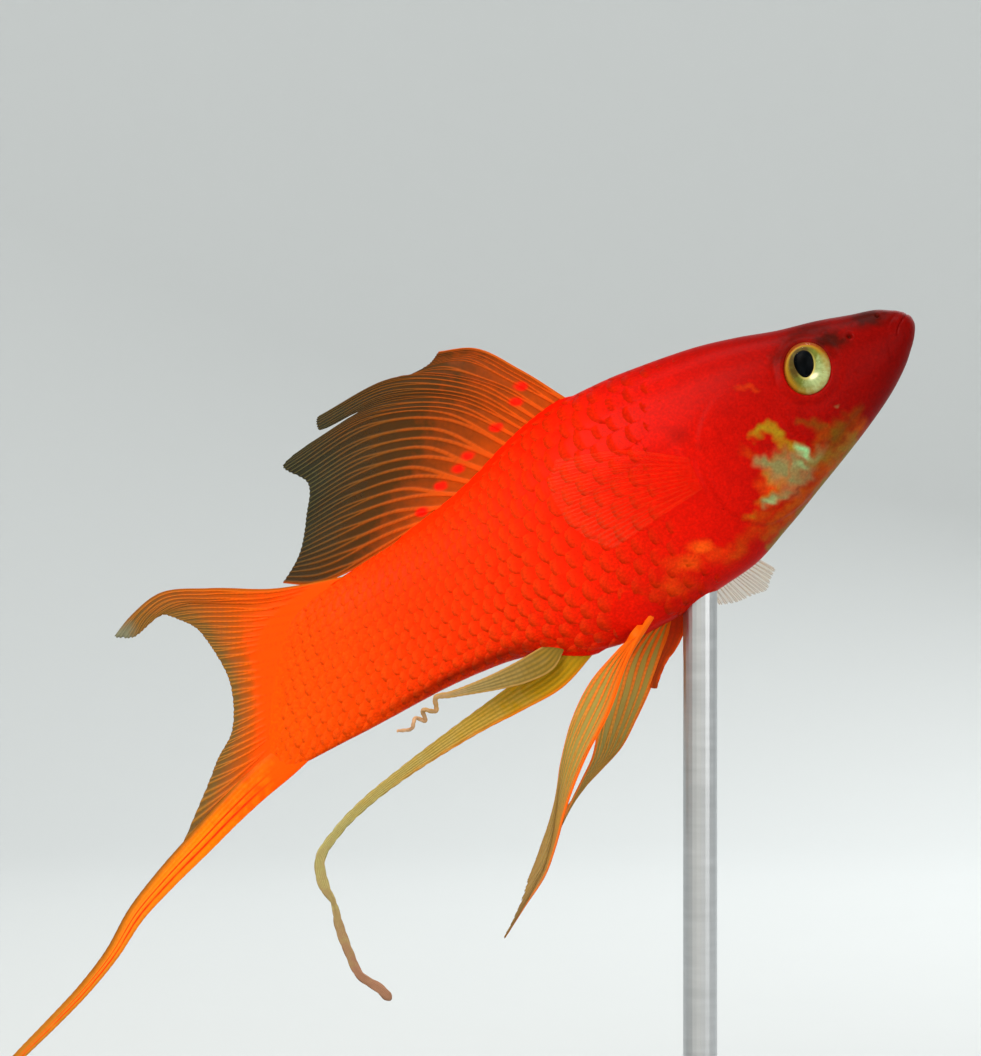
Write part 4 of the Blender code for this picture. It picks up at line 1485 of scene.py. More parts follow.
    def pupil_lens(self) -> Piece:
        """The lens: an ellipsoid in the pupil, a little wider at its top, as an egg is.

        Returns:
            The lens.
        """
        polar = np.linspace(0.03, math.pi - 0.03, self.lens_rings)[:, None]
        s = self.pupil[0] * np.sin(polar) * np.cos(self.turn) * (1 + self.egg * np.sin(self.turn))
        t = self.pupil[1] * np.sin(polar) * np.sin(self.turn)
        along, up = turned(s, t, -self.pupil_turn)
        out = self.edge + self.lens[0] + self.lens[1] * np.cos(polar) + 0 * self.turn
        points = self.place(self.pupil_shift[0] + along, out, self.pupil_shift[1] + up)
        fields = {"radius": np.sin(polar) + 0 * self.turn}
        return self.close("eye_lens", points, fields, PupilFinish(f"dark_lens_{self.word}"))

    def cornea(self) -> Piece:
        """The cornea: a thin shell, its height the cosine of a sphere's cap drawn flat.

        Returns:
            The cornea.
        """
        polar = np.linspace(0.02, math.asin(self.cover_edge), self.lens_rings)
        swell = (np.cos(polar) - math.cos(polar[-1])) / (1 - math.cos(polar[-1]))
        r, high = self.radius * np.sin(polar), self.edge + 0.02 + self.cover * swell
        r, high = np.r_[r, r[::-1] * 0.985], np.r_[high, high[::-1] - self.cover_thick]
        r, a = np.meshgrid(r, self.turn, indexing="ij")
        points = self.place(r * np.cos(a), high[:, None] + 0 * a, r * np.sin(a))
        return self.close("eye_cornea", points, {"radius": r}, CorneaFinish(f"wet_cornea_{self.word}"))

    def build(self) -> list[Piece]:
        """Ball, lens and cornea."""
        return [self.ball(), self.pupil_lens(), self.cornea()]


# ---- fins


@dataclass
class FinPiece:
    """What every piece of fin has: the solids it stands for, its slot, its course and its finish."""

    name: str
    nodes: Names
    slot: str
    course: Line | tuple[Line, ...]
    finish: FinFinish

    def finished(
        self, fish: FishFrame, place: tuple[Array, Array, Array], thick: Array, fields: dict[str, Array]
    ) -> Piece:
        """Make the sheet and give it its finish.

        Args:
            fish: The frame that places it.
            place: s, y and t of the mid-surface, before the swing.
            thick: Thickness at each point.
            fields: Attributes at each point.

        Returns:
            The piece.
        """
        s, y, t = place
        middle = np.stack([s, y + fish.sway(s), t], -1)
        return dress(sheet(self.name, fish, middle, thick, fields), self.finish)

    @staticmethod
    def rim(v: Array, width: Array, wide: Pair) -> Array:
        """How near the first and the last ray are: the larger of two bells of the way to them.

        Args:
            v: Shares across.
            width: Breadth of the fin, in millimetres.
            wide: Half widths of both bells; one of 0 has no bell.

        Returns:
            The rim's strength, for each share and breadth.
        """
        gaps = v * width, (1 - v) * width
        return np.maximum(*(bell(gap, w) if w else 0 * gap for gap, w in zip(gaps, wide)))


@dataclass
class Fin(FinPiece):
    """A fin fanned between guide rays, its course, its rays forking twice on the way out.

    Widths and thicknesses are pairs for root and tip. Forks are the shares at which rays part,
    parting how far in rays, rims the half widths of the first and the last ray's border, a notch a
    place, a depth and a width, and reach_tips how far towards the tip colours run across the fin.
    """

    rays: int
    rows: int = 96
    columns: int = 460
    forks: Pair = (0.26, 0.7)
    parting: Pair = (0.25, 0.1)
    y_root: float = 0.0
    y_tip: float = 0.0
    sunk: float = 0.9
    ray_wide: Pair = (0.34, 0.22)
    ray_thick: Pair = (0.3, 0.1)
    web_thick: Pair = (0.34, 0.06)
    scallop: float = 0.012
    ragged: float = 0.012
    notches: Line = ()
    rims: Pair = (0.0, 0.0)
    wave: Callable[[Array, Array], Array] | None = None
    spots: tuple[Patch, ...] = ()
    hem: Line = ()
    hem_swell: float = 0.22
    reach_tips: tuple[float, ...] = (1.0,)

    def branches(self, u: Array, rng: np.random.Generator) -> Array:
        """Middles of the four branches of every ray at each share of its length.

        A ray keeps to its place, then parts in two from the first fork and in four from the second,
        each time by a smooth step of u.

        Args:
            u: Shares from root to tip.
            rng: Source of each ray's own small shifts.

        Returns:
            Shares across the fin, rays by four by len(u).
        """
        place = (np.arange(self.rays) + 0.5 + rng.normal(0, 0.05, self.rays)) / self.rays
        shift = rng.normal(0, 0.04, (2, self.rays, 1, 1))
        first = smoothstep(0, 0.4, u - self.forks[0] - shift[0])
        second = smoothstep(0, 0.35, u - self.forks[1] - shift[1])
        sign = np.array([(-1, -1), (-1, 1), (1, -1), (1, 1)], float)[None, :, :, None]
        spread = sign[:, :, 0] * self.parting[0] * first + sign[:, :, 1] * self.parting[1] * second
        return place[:, None, None] + spread / self.rays

    def margin(self, v: Array, tips: Array, rng: np.random.Generator) -> Array:
        """Share of its full length that each column reaches.

        The free edge sinks a little between ray tips, wanders by a few slow sines, and dips by a
        bell at each notch.

        Args:
            v: Shares across the fin.
            tips: Shares at which the ray tips stand.
            rng: Source of the sines' phases.

        Returns:
            One share for each column.
        """
        near = np.abs(v[:, None] - tips).min(1) * len(tips)
        phase = rng.uniform(0, 2 * math.pi, 3)
        slow = sum(np.sin(v * 9 * (k + 1) + phase[k]) / (k + 1) for k in range(3))
        ends = 1 - self.scallop * smoothstep(0.1, 0.5, near) - self.ragged * (slow + 1.8)
        for place, depth, width in self.notches:
            ends -= depth * bell(v - place, width)
        return ends

    def build(self, fish: FishFrame) -> Piece:
        """Work out the fan, its rays and its free edge, and make the sheet.

        The mid-surface runs smoothly through the guide rays. A ray is a ridge of bells across the
        fan, a set number of millimetres wide wherever the fan has spread to. Where the fin has a
        hem, the line at which the flesh ends on it, colours and ridges begin there.

        Args:
            fish: The frame that places it.

        Returns:
            The fin.
        """
        rng = np.random.default_rng(SEED + len(self.name))
        guides = [np.array(g, float) for g in self.course]
        for g in guides:
            g[0] -= (g[1] - g[0]) / np.linalg.norm(g[1] - g[0]) * self.sunk
        u, v = np.linspace(0, 1, self.rows), np.linspace(0, 1, self.columns)
        full = smooth(np.linspace(0, 1, len(guides)), np.stack([flow(g, u) for g in guides]), v)
        middles = self.branches(u, rng)
        share = u[None] * self.margin(v, middles[..., -1].ravel(), rng)[:, None]
        k = share * (self.rows - 1)
        k0 = np.minimum(k.astype(int), self.rows - 2)
        w, pick = (k - k0)[..., None], np.arange(self.columns)[:, None]
        fan = full[pick, k0] * (1 - w) + full[pick, k0 + 1] * w
        width = np.linalg.norm(np.diff(fan, axis=0), axis=2).sum(0)
        half = np.interp(u, (0, 1), self.ray_wide) / 2
        gap = (v[:, None, None, None] - middles) * width
        ridge = np.clip(np.exp(-((gap / half) ** 2)).sum(axis=(1, 2)), 0, 1)
        web = np.interp(u, (0, 0.25, 1), (self.web_thick[0], self.web_thick[0] * 0.4, self.web_thick[1]))
        s, t = fan[..., 0], fan[..., 1]
        run = np.cumsum(np.pad(np.linalg.norm(np.diff(fan, axis=1), axis=2), ((0, 0), (1, 0))), axis=1)
        reach, raised, swell = share, 1.0, 0.0
        if self.hem:
            beyond, _ = to_line(s, t, self.hem)
            start = np.minimum((beyond <= 0).sum(1), self.rows - 2)[:, None]
            past = run - np.take_along_axis(run, start, 1)
            reach, raised = np.clip(past / past[:, -1:], 0, 1), smoothstep(-0.3, 1.0, past)
            swell = self.hem_swell * (1 - smoothstep(-0.4, 2.0, past))
        y = self.y_root + (self.y_tip - self.y_root) * reach**1.3
        if self.wave:
            y = y + self.wave(reach, v[:, None] + 0 * share)
        reach = reach * np.interp(v, np.linspace(0, 1, len(self.reach_tips)), self.reach_tips)[:, None]
        thick = web + swell + np.interp(u, (0, 1), self.ray_thick) * ridge * raised
        spot = np.max([p.at(s, t) for p in self.spots], axis=0) if self.spots else 0 * s
        fields = {
            "ray": ridge,
            "reach": reach,
            "rim": self.rim(v[:, None], width, self.rims),
            "mark": smoothstep(0.15, 0.95, spot),
            "cross": joints(run, ridge, share),
        }
        return self.finished(fish, (s, y, t), thick, fields)


def joints(run: Array, ridge: Array, share: Array, pitch: float = 0.45) -> Array:
    """Cross joints of fin rays: sixth powers of a cosine along the ray, beyond its plain root.

    Args:
        run: Millimetres along the ray.
        ridge: 1 on a ray and 0 between.
        share: Shares of the ray's length.
        pitch: Spacing of the joints in millimetres.

    Returns:
        Strength of the joints.
    """
    return (0.5 + 0.5 * np.cos(run / pitch * 2 * math.pi)) ** 6 * ridge * smoothstep(0.08, 0.2, share)


@dataclass
class Streamer(FinPiece):
    """A long narrow fin end: a finely ribbed ribbon along its course, its root spread on the body.

    The course's rows are s, t and width. A stripe is a place across and a half width, and ribbed
    says between which shares of the length the ribs come up.
    """

    drift: Callable[[Array], Array]
    root: tuple[Pair, Pair] | None = None
    root_reach: float = 0.12
    rays: int = 6
    rows: int = 320
    per_ray: int = 12
    thick: Pair = (0.8, 0.34)
    edge_thin: float = 0.4
    rib: float = 0.22
    frill: float = 0.0
    frill_pitch: float = 1.4
    rims: Pair = (0.2, 0.2)
    ray_share: float = 0.8
    stripes: Line = ()
    ribbed: Pair = (-0.02, 0.1)

    def build(self, fish: FishFrame) -> Piece:
        """Carry a ribbed strip along the line of s, t and width.

        At share u of the length the strip spans half its width to both sides of the line; near the
        root it is drawn over to the root edge by the square of what is left of the root's reach.
        Ribs are powered cosines across, and the frill a sine of the length run.

        Args:
            fish: The frame that places it.

        Returns:
            The ribbon.
        """
        u, v = np.linspace(0, 1, self.rows), np.linspace(0, 1, self.rays * self.per_ray + 1)[:, None]
        path = flow(self.course, u)
        flat, width = path[:, :2], path[:, 2]
        lead = np.gradient(flat, axis=0)
        lead /= np.linalg.norm(lead, axis=1, keepdims=True)
        out = np.stack([-lead[:, 1], lead[:, 0]], 1)
        tip = np.sqrt(np.clip((1 - u) / (0.5 * width[-1] / 40), 0.04, 1))
        place = flat + out * (((v - 0.5) * width * tip)[..., None])
        if self.root:
            first, last = np.array(self.root, float)
            want = first + (last - first) * v
            left = np.clip(1 - u / self.root_reach, 0, 1) ** 2
            place = place + (want - place[:, 0])[:, None] * left[:, None]
        run = run_along(flat)
        rib = np.abs(np.cos(v * self.rays * math.pi)) ** 1.6 * (1 - 0.5 * u) * smoothstep(*self.ribbed, u)
        oval = np.sqrt(np.clip(1 - (2 * v - 1) ** 2, 0, 1))
        body = np.interp(u, (0, 0.25, 1), (self.thick[0], self.thick[0] * 0.75, self.thick[1]))
        thick = body * (self.edge_thin + (1 - self.edge_thin) * oval) * (1 - self.rib + self.rib * rib) * tip
        wave = self.frill * np.abs(2 * v - 1) ** 3 * np.sin(run / self.frill_pitch * 2 * math.pi + 3 * v)
        s, t = place[..., 0], place[..., 1]
        y = self.drift(u) + wave * smoothstep(0.08, 0.3, u)
        wide = np.linalg.norm(place[-1] - place[0], axis=1)
        fields = {
            "ray": rib * self.ray_share + (1 - self.ray_share),
            "reach": u + 0 * s,
            "rim": self.rim(v, wide, self.rims) * smoothstep(*self.ribbed, u),
            "mark": sum((bell(v - at, half) * smoothstep(0.09, 0.24, u) for at, half in self.stripes), 0 * s),
            "cross": joints(run, rib, u, 0.5),
        }
        return self.finished(fish, (s, y, t), thick, fields)


def fin_plans() -> list[Fin | Streamer]:
    """Every fin with its guide rays.

    Returns:
        The plans, in the order they are built.
    """
    dorsal = Fin(
        "dorsal_fin_skin", ("dorsal_fin",), "fin_dorsal",
        (
            ((29.9, 9.6), (32.0, 13.4), (34.6, 17.0), (37.8, 18.4)),
            ((31.3, 9.5), (33.6, 13.2), (36.2, 16.6), (39.8, 17.8)),
            ((33.0, 9.2), (36.0, 14.1), (41.6, 17.9), (50.2, 18.4)),
            ((34.4, 9.0), (37.5, 13.6), (43.2, 16.9), (50.3, 17.2)),
            ((36.0, 8.7), (39.2, 13.2), (45.0, 16.1), (54.8, 16.0)),
            ((38.4, 8.1), (41.6, 11.9), (46.9, 13.9), (53.5, 13.8)),
            ((41.2, 7.3), (44.5, 10.0), (49.8, 11.3), (55.2, 11.2)),
            ((44.2, 6.6), (47.6, 7.9), (52.2, 8.6), (57.2, 8.9)),
            ((47.4, 5.5), (50.8, 5.25), (54.4, 5.15), (57.0, 5.6), (59.6, 7.2)),
        ),
        FinFinish(
            "dorsal_fin_skin_over_rays", ray=("#D44C08", "#804814", "#565030"), places=(0.03, 0.54, 0.96),
            web=("#B24204", "#4C2C0A", "#2C2A18"), web_places=(0.0, 0.4, 0.92), rim="#C05610",
            rim_fade=(0.65, 1.0, 0.5), mark="#EC1402", clear=(0.98, 0.88),
        ),
        rays=14, rows=100, columns=480, y_tip=0.6, notches=((0.408, 0.22, 0.022), (0.18, 0.03, 0.02)),
        forks=(-0.02, 0.42), parting=(0.25, 0.12), ray_wide=(0.28, 0.15), rims=(0.5, 0.2), scallop=0.004,
        reach_tips=(0.42, 0.42, 0.9, 0.95, 1.0, 1.0, 1.0, 0.9, 0.75), ray_thick=(0.22, 0.1),
        wave=lambda u, v: 0.5 * np.sin(v * 7.0 + 1.0) * u * u + 0.1 * np.sin(v * 34) * u,
        spots=tuple(
            Patch(s, t, 0.95, 0.6, a, 0.85)
            for s, t, a in (
                (32.7, 12.1, 30), (33.7, 11.1, 26), (36.3, 9.95, 20), (39.65, 9.0, 16), (41.0, 8.4, 14),
                (43.0, 7.8, 12), (45.6, 6.6, 10),
            )
        ),
    )
    tail = Fin(
        "tail_fin_skin", ("tail_fin_upper", "tail_fin_lower"), "fin_tail",
        (
            ((56.4, 5.7), (60.4, 7.1), (65.2, 9.8), (69.4, 11.55), (72.4, 11.0), (75.0, 9.9)),
            ((57.6, 5.6), (61.3, 6.7), (65.6, 8.9), (69.3, 10.5), (71.3, 10.15), (73.4, 8.8)),
            ((58.4, 5.2), (61.5, 6.1), (65.2, 8.1), (68.4, 9.6), (70.9, 9.95)),
            ((59.0, 4.3), (61.6, 5.0), (64.8, 6.6), (67.2, 7.9), (69.1, 8.7)),
            ((59.6, 3.4), (61.9, 3.9), (64.4, 4.9), (66.3, 5.9), (67.9, 6.9)),
            ((60.3, 2.5), (62.4, 2.85), (64.5, 3.5), (66.3, 4.2), (67.6, 4.8)),
            ((61.6, 0.65), (63.2, 1.0), (65.0, 1.5), (66.5, 2.1), (67.7, 2.6)),
            ((62.85, -1.1), (64.5, -0.9), (65.6, -0.7), (66.9, -0.4), (68.4, 0.0)),
            ((63.85, -2.5), (65.4, -2.5), (66.6, -2.4), (68.1, -2.3), (69.8, -2.2)),
            ((64.75, -3.75), (66.8, -3.9), (68.2, -3.9), (69.9, -3.8), (72.1, -3.6)),
            ((65.3, -4.5), (67.8, -5.1), (69.8, -5.4), (71.8, -5.5), (74.1, -5.3)),
            ((65.6, -5.1), (68.6, -6.0), (71.4, -6.8), (74.6, -7.9), (79.2, -9.5)),
        ),
        FinFinish(
            "tail_fin_skin_over_rays", ray=("#FC4A00", "#E0600A", "#A4702A"), places=(0.06, 0.42, 0.95),
            web=("#FC4A00", "#B84E06", "#70501E"), web_places=(0.06, 0.38, 0.88), rim="#A8580E",
            rim_fade=(0.1, 0.8, 0.35), mark="#76745C", clear=(1.0, 0.86),
        ),
        hem=(
            (52.0, 5.9), (58.4, 5.5), (61.6, 4.9), (63.6, 3.7), (64.8, 1.0), (66.0, -1.6), (67.4, -4.6),
            (69.0, -6.6), (72.0, -8.6),
        ),
        rays=16, rows=90, columns=440, forks=(0.3, 0.62), y_tip=0.3, sunk=2.4, rims=(0.5, 0.0),
        ray_wide=(0.26, 0.15), ray_thick=(0.24, 0.1), web_thick=(0.46, 0.06), scallop=0.006,
        wave=lambda u, v: 0.3 * np.sin(v * 5.0) * u, spots=(Patch(74.6, 9.3, 2.8, 1.5, -32),),
    )
    sword = Streamer(
        "sword_skin", ("sword_root", "sword_tip"), "sword",
        (
            (61.6, -5.5, 2.4), (66.95, -6.75, 2.8), (70.1, -7.4, 2.7), (73.0, -8.2, 2.5),
            (76.5, -9.3, 2.3), (80.9, -10.7, 1.95), (84.3, -12.0, 1.6), (88.0, -14.1, 1.25),
            (91.6, -15.6, 1.1), (95.4, -16.8, 1.0), (99.2, -17.9, 0.85), (103.4, -19.3, 0.7),
            (107.2, -21.0, 0.4),
        ),
        FinFinish(
            "sword_skin_over_close_rays", ray=("#FF5200", "#FF8004", "#C88A30"), places=(0.14, 0.31, 0.95),
            web=("#FF5200", "#F87000", "#B47820"), rim="#8A5210", mark="#F62A02", clear=(1.0, 0.98),
        ),
        drift=lambda u: -0.9 * u * u, rays=7, per_ray=9, thick=(0.8, 0.4), rib=0.1, frill=0.03,
        rims=(0.0, 0.34), ray_share=0.5, stripes=((0.3, 0.045), (0.52, 0.03)), ribbed=(0.08, 0.24),
    )
    anal = Streamer(
        "anal_fin_skin", ("anal_fin", "anal_streamer_front", "anal_streamer_end"), "fin_pale",
        (
            (39.2, -10.2, 2.9), (42.3, -11.4, 2.9), (46.0, -11.7, 2.5), (50.0, -11.9, 1.85),
            (54.4, -12.25, 1.35), (58.5, -12.7, 1.0), (62.2, -13.3, 0.85), (65.6, -14.3, 0.75),
            (68.2, -15.8, 0.85), (68.9, -17.8, 0.9), (68.9, -19.6, 0.45), (69.4, -21.4, 0.75),
            (69.8, -24.0, 0.75), (69.9, -26.2, 0.7), (68.9, -28.2, 0.8), (68.6, -29.4, 0.85),
        ),
        FinFinish(
            "anal_fin_skin_over_rays", ray=("#C08E12", "#B8AE74", "#A67A5E"), places=(0.12, 0.64, 0.92),
            web=("#907810", "#8E864A", "#906A54"), rim="#DE700A", rim_fade=(0.12, 0.5, 0.0),
            clear=(0.97, 0.95),
        ),
        drift=lambda u: -0.6 * np.sin(np.clip(u - 0.3, 0, 1) * 3.7) - 2.8 * np.clip(u - 0.3, 0, 1) ** 2,
        root=((37.7, -11.3), (41.0, -9.6)), root_reach=0.1, rays=6, thick=(0.6, 0.34), rib=0.34,
        frill=0.12, frill_pitch=2.6, rims=(0.26, 0.0),
    )
    branch = Streamer(
        "anal_branch_skin", ("anal_branch",), "fin_pale",
        (
            (40.8, -9.4, 1.3), (42.4, -9.9, 2.2), (44.4, -9.9, 2.1), (46.6, -9.6, 1.6), (49.0, -9.1, 1.0),
            (51.2, -8.55, 0.55), (52.4, -8.2, 0.42), (52.95, -9.2, 0.36), (53.9, -8.6, 0.34),
            (54.2, -9.5, 0.34), (54.8, -8.9, 0.3), (55.5, -9.5, 0.3), (56.8, -9.1, 0.2),
        ),
        FinFinish(
            "anal_branch_skin_over_rays", ray=("#927228", "#A68E56", "#D6AA88"), places=(0.1, 0.5, 0.85),
            web=("#6A5C20", "#786A42", "#C29C7E"), rim="#B48A48", clear=(0.86, 0.94),
        ),
        drift=lambda u: (
            -1.0 - 1.3 * np.clip(u * 3.0, 0, 1) + 0.4 * np.sin(u * 47) * smoothstep(0.62, 0.75, u)
        ),
        rays=5, per_ray=9, thick=(0.45, 0.26), rib=0.3, frill=0.05, frill_pitch=1.1, rows=260,
        rims=(0.14, 0.14),
    )
    clear_fan = dict(
        rays=12, rows=90, columns=420, sunk=0.5, ray_wide=(0.16, 0.1), ray_thick=(0.18, 0.06),
        web_thick=(0.2, 0.04), rims=(0.3, 0.12),
    )
    narrow_fan = dict(rays=5, rows=170, columns=130, ray_wide=(0.24, 0.14))
    pale = dict(
        ray=("#F0600A", "#CE903A", "#AC8046"), web=("#A88E38", "#A0924A", "#9A7E48"), rim="#F2640A",
        clear=(0.92, 0.86), places=(0.08, 0.5, 0.92),
    )
    right = Fin(
        "pelvic_fin_right_skin", ("pelvic_fin_right",), "fin_pelvic",
        (
            (
                (33.1, -11.5), (35.9, -13.3), (39.7, -16.6), (43.6, -19.2), (47.2, -22.2), (49.4, -24.5),
                (51.4, -26.3), (54.5, -28.0), (57.9, -29.9),
            ),
            (
                (34.0, -11.6), (36.7, -12.9), (40.2, -15.5), (44.3, -18.6), (47.4, -21.6), (51.0, -25.3),
                (55.4, -27.9),
            ),
            (
                (35.0, -11.8), (37.3, -12.5), (39.5, -13.3), (42.8, -15.5), (45.6, -18.4), (47.6, -21.0),
                (51.2, -24.6),
            ),
        ),
        FinFinish("pelvic_fin_right_skin_over_rays", **pale),
        y_root=-2.6, y_tip=-2.2, rims=(0.95, 0.14), **narrow_fan,
        wave=lambda u, v: -0.9 * np.sin(u * math.pi) * (1 - v) + 0.2 * np.sin(u * 9 + v * 4),
    )
    left = Fin(
        "pelvic_fin_left_skin", ("pelvic_fin_left",), "fin_pelvic",
        (
            (
                (31.0, -12.3), (32.4, -13.9), (34.8, -16.2), (37.8, -18.5), (40.6, -20.3), (42.6, -20.9),
                (44.6, -21.5), (47.3, -22.6), (51.3, -26.0),
            ),
            (
                (32.2, -12.2), (34.9, -13.9), (37.3, -16.3), (39.8, -18.6), (41.7, -20.1), (43.8, -21.1),
                (46.4, -22.3), (51.0, -25.6),
            ),
            (
                (33.6, -11.9), (37.4, -13.4), (39.7, -15.6), (41.6, -18.0), (42.9, -19.5), (44.9, -21.0),
                (47.0, -22.5), (50.6, -25.2),
            ),
        ),
        FinFinish("pelvic_fin_left_skin_over_rays", **pale),
        y_root=1.6, y_tip=1.4, rims=(0.35, 0.2), **narrow_fan,
        wave=lambda u, v: 1.2 * np.sin(u * math.pi) * (1 - v) + 0.2 * np.sin(u * 8 + v * 3 + 2),
    )
    near = Fin(
        "pectoral_fin_right_skin", ("pectoral_fin_right",), "fin_clear",
        (
            ((23.5, -0.2), (27.8, 2.8), (33.6, 5.0)),
            ((23.7, -1.0), (28.8, 1.6), (35.0, 3.4)),
            ((23.8, -1.9), (29.4, 0.0), (35.6, 1.2)),
            ((23.9, -2.7), (29.2, -1.8), (34.9, -1.4)),
            ((23.9, -3.5), (28.4, -3.8), (32.8, -4.2)),
        ),
        FinFinish(
            "pectoral_fin_right_clear_skin", ray=("#FF3204", "#FA3A0A", "#F26030"), rim="#FF3A0A",
            web=("#F82A04", "#F03A10", "#E87048"), clear=(0.06, 0.01), ray_solid=0.12, rim_solid=0.1,
        ),
        y_root=-5.5, y_tip=-8.3, wave=lambda u, v: -0.5 * np.sin(v * math.pi) * u, **clear_fan,
    )
    far = Fin(
        "pectoral_fin_left_skin", ("pectoral_fin_left",), "fin_clear",
        (
            ((23.5, -0.3), (24.2, -6.2), (20.3, -13.2)),
            ((23.7, -1.0), (25.0, -7.0), (22.0, -14.8)),
            ((23.8, -1.9), (25.8, -7.2), (24.5, -14.6)),
            ((23.9, -2.7), (26.6, -7.0), (27.2, -12.8)),
            ((23.9, -3.5), (27.0, -6.6), (28.8, -10.6)),
        ),
        FinFinish(
            "pectoral_fin_left_clear_skin", ray=("#E8600A", "#D88A1C", "#C89A3C"), rim="#DC8A1C",
            web=("#E0600A", "#D0901C", "#C0A03C"), clear=(0.3, 0.16), ray_solid=0.42, rim_solid=0.34,
        ),
        y_root=5.5, y_tip=9.5, wave=lambda u, v: 0.5 * np.sin(v * math.pi) * u, **clear_fan,
    )
    spur = Streamer(
        "pelvic_spur_left", (), "fin_pelvic",
        (
            (30.2, -11.2, 2.5), (31.0, -12.8, 2.2), (32.1, -14.1, 1.5), (33.4, -15.0, 1.0),
            (34.6, -16.0, 0.9), (35.3, -16.9, 0.6),
        ),
        FinFinish(
            "pelvic_spur_skin_over_rays", ray=("#E83408", "#C03808", "#9A340C"),
            web=("#C82C06", "#A03A10", "#7E3410"), rim="#E8500C", clear=(1.0, 0.95),
        ),
        drift=lambda u: 1.9 + 0.3 * u, rays=4, thick=(0.4, 0.25), rows=90, frill=0.1, frill_pitch=1.8,
    )
    return [dorsal, tail, sword, anal, branch, right, left, near, far, spur]


# ---- stand and studio


@dataclass
class Stand:
    """The plain display stand: the board and the rod keep their solids and gain their finishes."""

    board: BoardFinish = BoardFinish("lacquered_beech_board")
    rod: SteelFinish = SteelFinish("drawn_stainless_rod")

    def dress(self) -> None:
        """Give both solids their finishes."""
        for node, finish in (("stand_base", self.board), ("stand_rod", self.rod)):
            material = finish.make()
            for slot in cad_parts[node].material_slots:
                slot.material = material
            log.info("dressed %s", node)


@dataclass(frozen=True)
class Lamp:
    """A square soft light: its place, side and aim in metres, its watts and its warmth."""

    name: str
    place: Triple
    size: float
    power: float
    warm: str
    aim: Triple = (0.0, 0.0, 0.068)

    def hang(self) -> None:
        """Put it in the scene, its own -Z turned along its aim: a tilt from the pole, then a heading."""
        lamp = bpy.data.lights.new(self.name, "AREA")
        lamp.size, lamp.energy, lamp.color = self.size, self.power, linear(self.warm)[:3]
        thing = bpy.data.objects.new(self.name, lamp)
        x, y, z = np.array(self.aim) - np.array(self.place)
        thing.location = self.place
        thing.rotation_euler = (math.atan2(math.hypot(x, y), -z), 0.0, math.atan2(y, x) - math.pi / 2)
        bpy.context.scene.collection.objects.link(thing)


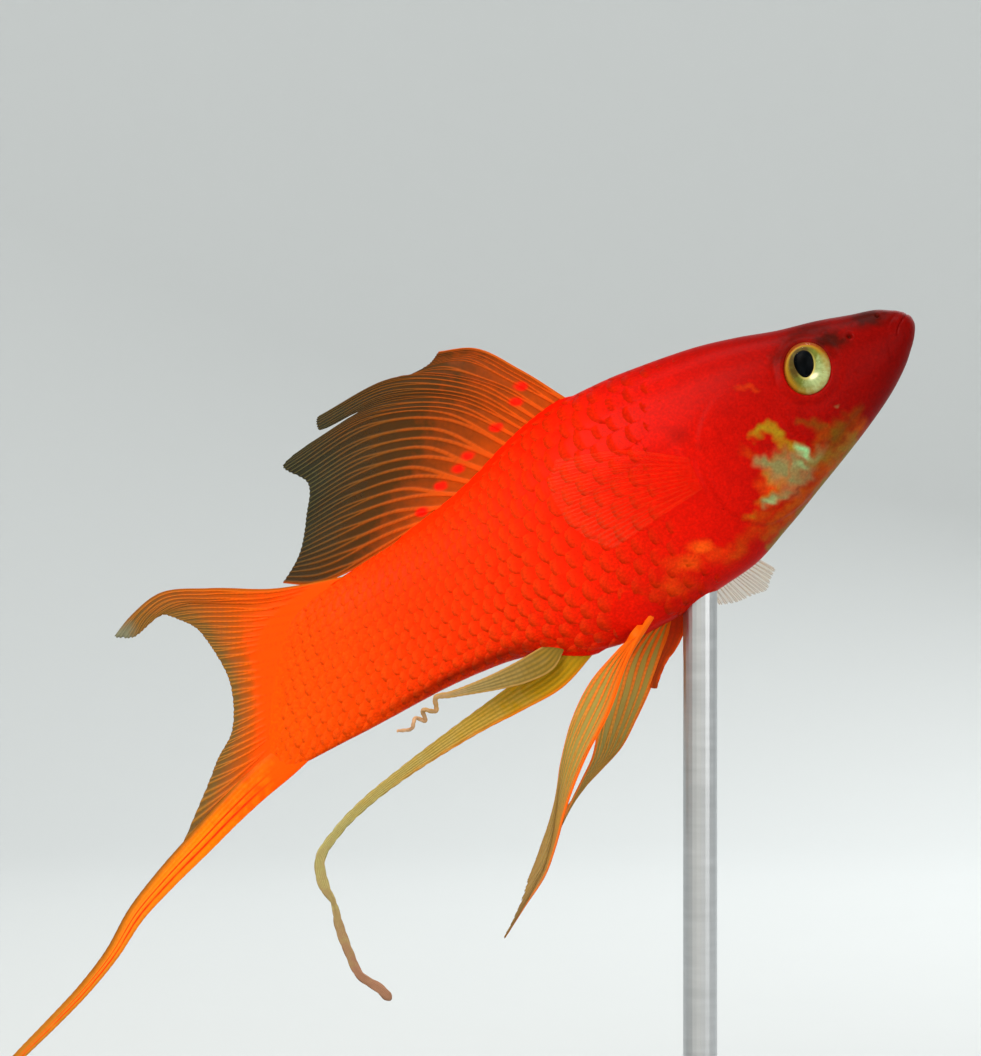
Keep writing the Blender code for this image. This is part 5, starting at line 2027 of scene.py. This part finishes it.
@dataclass
class Studio:
    """Pale paper sweep in metres, soft lights, and the camera in millimetres."""

    frame_px: tuple[int, int] = (981, 1056)
    mm_per_px: float = 66.0 / 752.0
    middle_z: float = 68.0
    distance: float = 350.0
    sensor: float = 36.0
    dish: float = 0.9
    wall_high: float = 0.7
    bend: float = 0.42
    spokes: int = 96
    lamps: tuple[Lamp, ...] = (
        Lamp("key", (-0.2, -0.56, 0.47), 0.4, 4.6, "#FFF6EA"),
        Lamp("fill", (0.45, -0.45, 0.15), 0.5, 1.7, "#F6F4F2"),
        Lamp("back", (0.25, 0.45, 0.36), 0.4, 1.9, "#FFFFFF"),
        Lamp("wall", (0.0, -0.06, 0.85), 0.5, 5.0, "#F4F6F8", (0.0, 0.9, 0.3)),
    )
    room: str = "#E4E8EA"
    room_glow: float = 0.28

    def sweep(self) -> None:
        """Paper floor that turns up into a low round wall.

        Its profile is a level run, a quarter circle and an upright run, carried once round the
        upright axis; a fan closes its middle.
        """
        arc = np.linspace(0, math.pi / 2, 24)
        r = np.r_[0.05, self.dish - self.bend + self.bend * np.sin(arc), self.dish]
        z = np.r_[0, self.bend - self.bend * np.cos(arc), self.wall_high]
        r, turn = np.meshgrid(r, np.linspace(0, 2 * math.pi, self.spokes, endpoint=False), indexing="ij")
        points = np.stack([r * np.cos(turn), r * np.sin(turn), np.repeat(z[:, None], self.spokes, 1)], -1)
        points = np.vstack([points.reshape(-1, 3), (0, 0, 0)])
        k = np.arange(self.spokes)
        fan = np.stack([k, (k + 1) % self.spokes, np.full(self.spokes, len(points) - 1)], 1)
        quads = grid_quads(len(z), self.spokes, wrap=True)[:, ::-1]
        floor = dress(add_mesh("studio_sweep", points, quads, fan), PaperFinish("seamless_paper"))

    def camera(self) -> None:
        """A level long-lens camera whose frame spans the sizes worked out from the scale."""
        lens = bpy.data.cameras.new("camera")
        lens.sensor_fit = "VERTICAL"
        lens.sensor_height = self.sensor
        half = self.frame_px[1] / 2 * self.mm_per_px
        lens.lens = self.sensor / 2 * self.distance / half
        lens.clip_start = 0.01
        thing = bpy.data.objects.new("camera", lens)
        thing.location = (0, -self.distance * MM, self.middle_z * MM)
        thing.rotation_euler = (math.pi / 2, 0, 0)
        bpy.context.scene.collection.objects.link(thing)
        bpy.context.scene.camera = thing

    def build(self) -> None:
        """Set the stage."""
        self.sweep()
        for lamp in self.lamps:
            lamp.hang()
        world = bpy.data.worlds.new("soft_room")
        world.use_nodes = True
        glow = world.node_tree.nodes["Background"]
        glow.inputs["Color"].default_value = linear(self.room)
        glow.inputs["Strength"].default_value = self.room_glow
        bpy.context.scene.world = world
        bpy.context.scene.view_settings.view_transform = "Standard"
        self.camera()


# ---- making


def settle(thing: Piece, slot: str, *nodes: str) -> None:
    """Tie a piece to the body and hide the solids that it stands for.

    Args:
        thing: The piece.
        slot: The piece's material slot; not used.
        nodes: The solids, if it stands for any.
    """
    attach(thing, BODY)
    if nodes:
        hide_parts(*nodes)
    log.info("%s: %d faces", thing.name, len(thing.data.polygons))


def main() -> None:
    """Build every piece in order."""
    logging.basicConfig(level=logging.INFO, format="%(name)s %(message)s")
    Studio().build()
    fish = FishFrame()
    form = BodyForm(fish)
    marks = Marks()
    skin = Skin(form, marks)
    settle(
        skin.build(), "flesh_body", "head", "lower_jaw", "gill_cover_left", "gill_cover_right",
        "trunk_front", "trunk_rear", "tail_stalk",
    )
    scales = Scales(form, marks)
    for side in Side:
        settle(scales.build(side), "flesh_body")
        ball, *rest = Eye(fish, side).build()
        settle(ball, "eye", f"eye_{side.name.lower()}")
        for piece in rest:
            settle(piece, "eye")
    for plan in fin_plans():
        settle(plan.build(fish), plan.slot, *plan.nodes)
    Stand().dress()


if __name__ == "__main__":
    main()
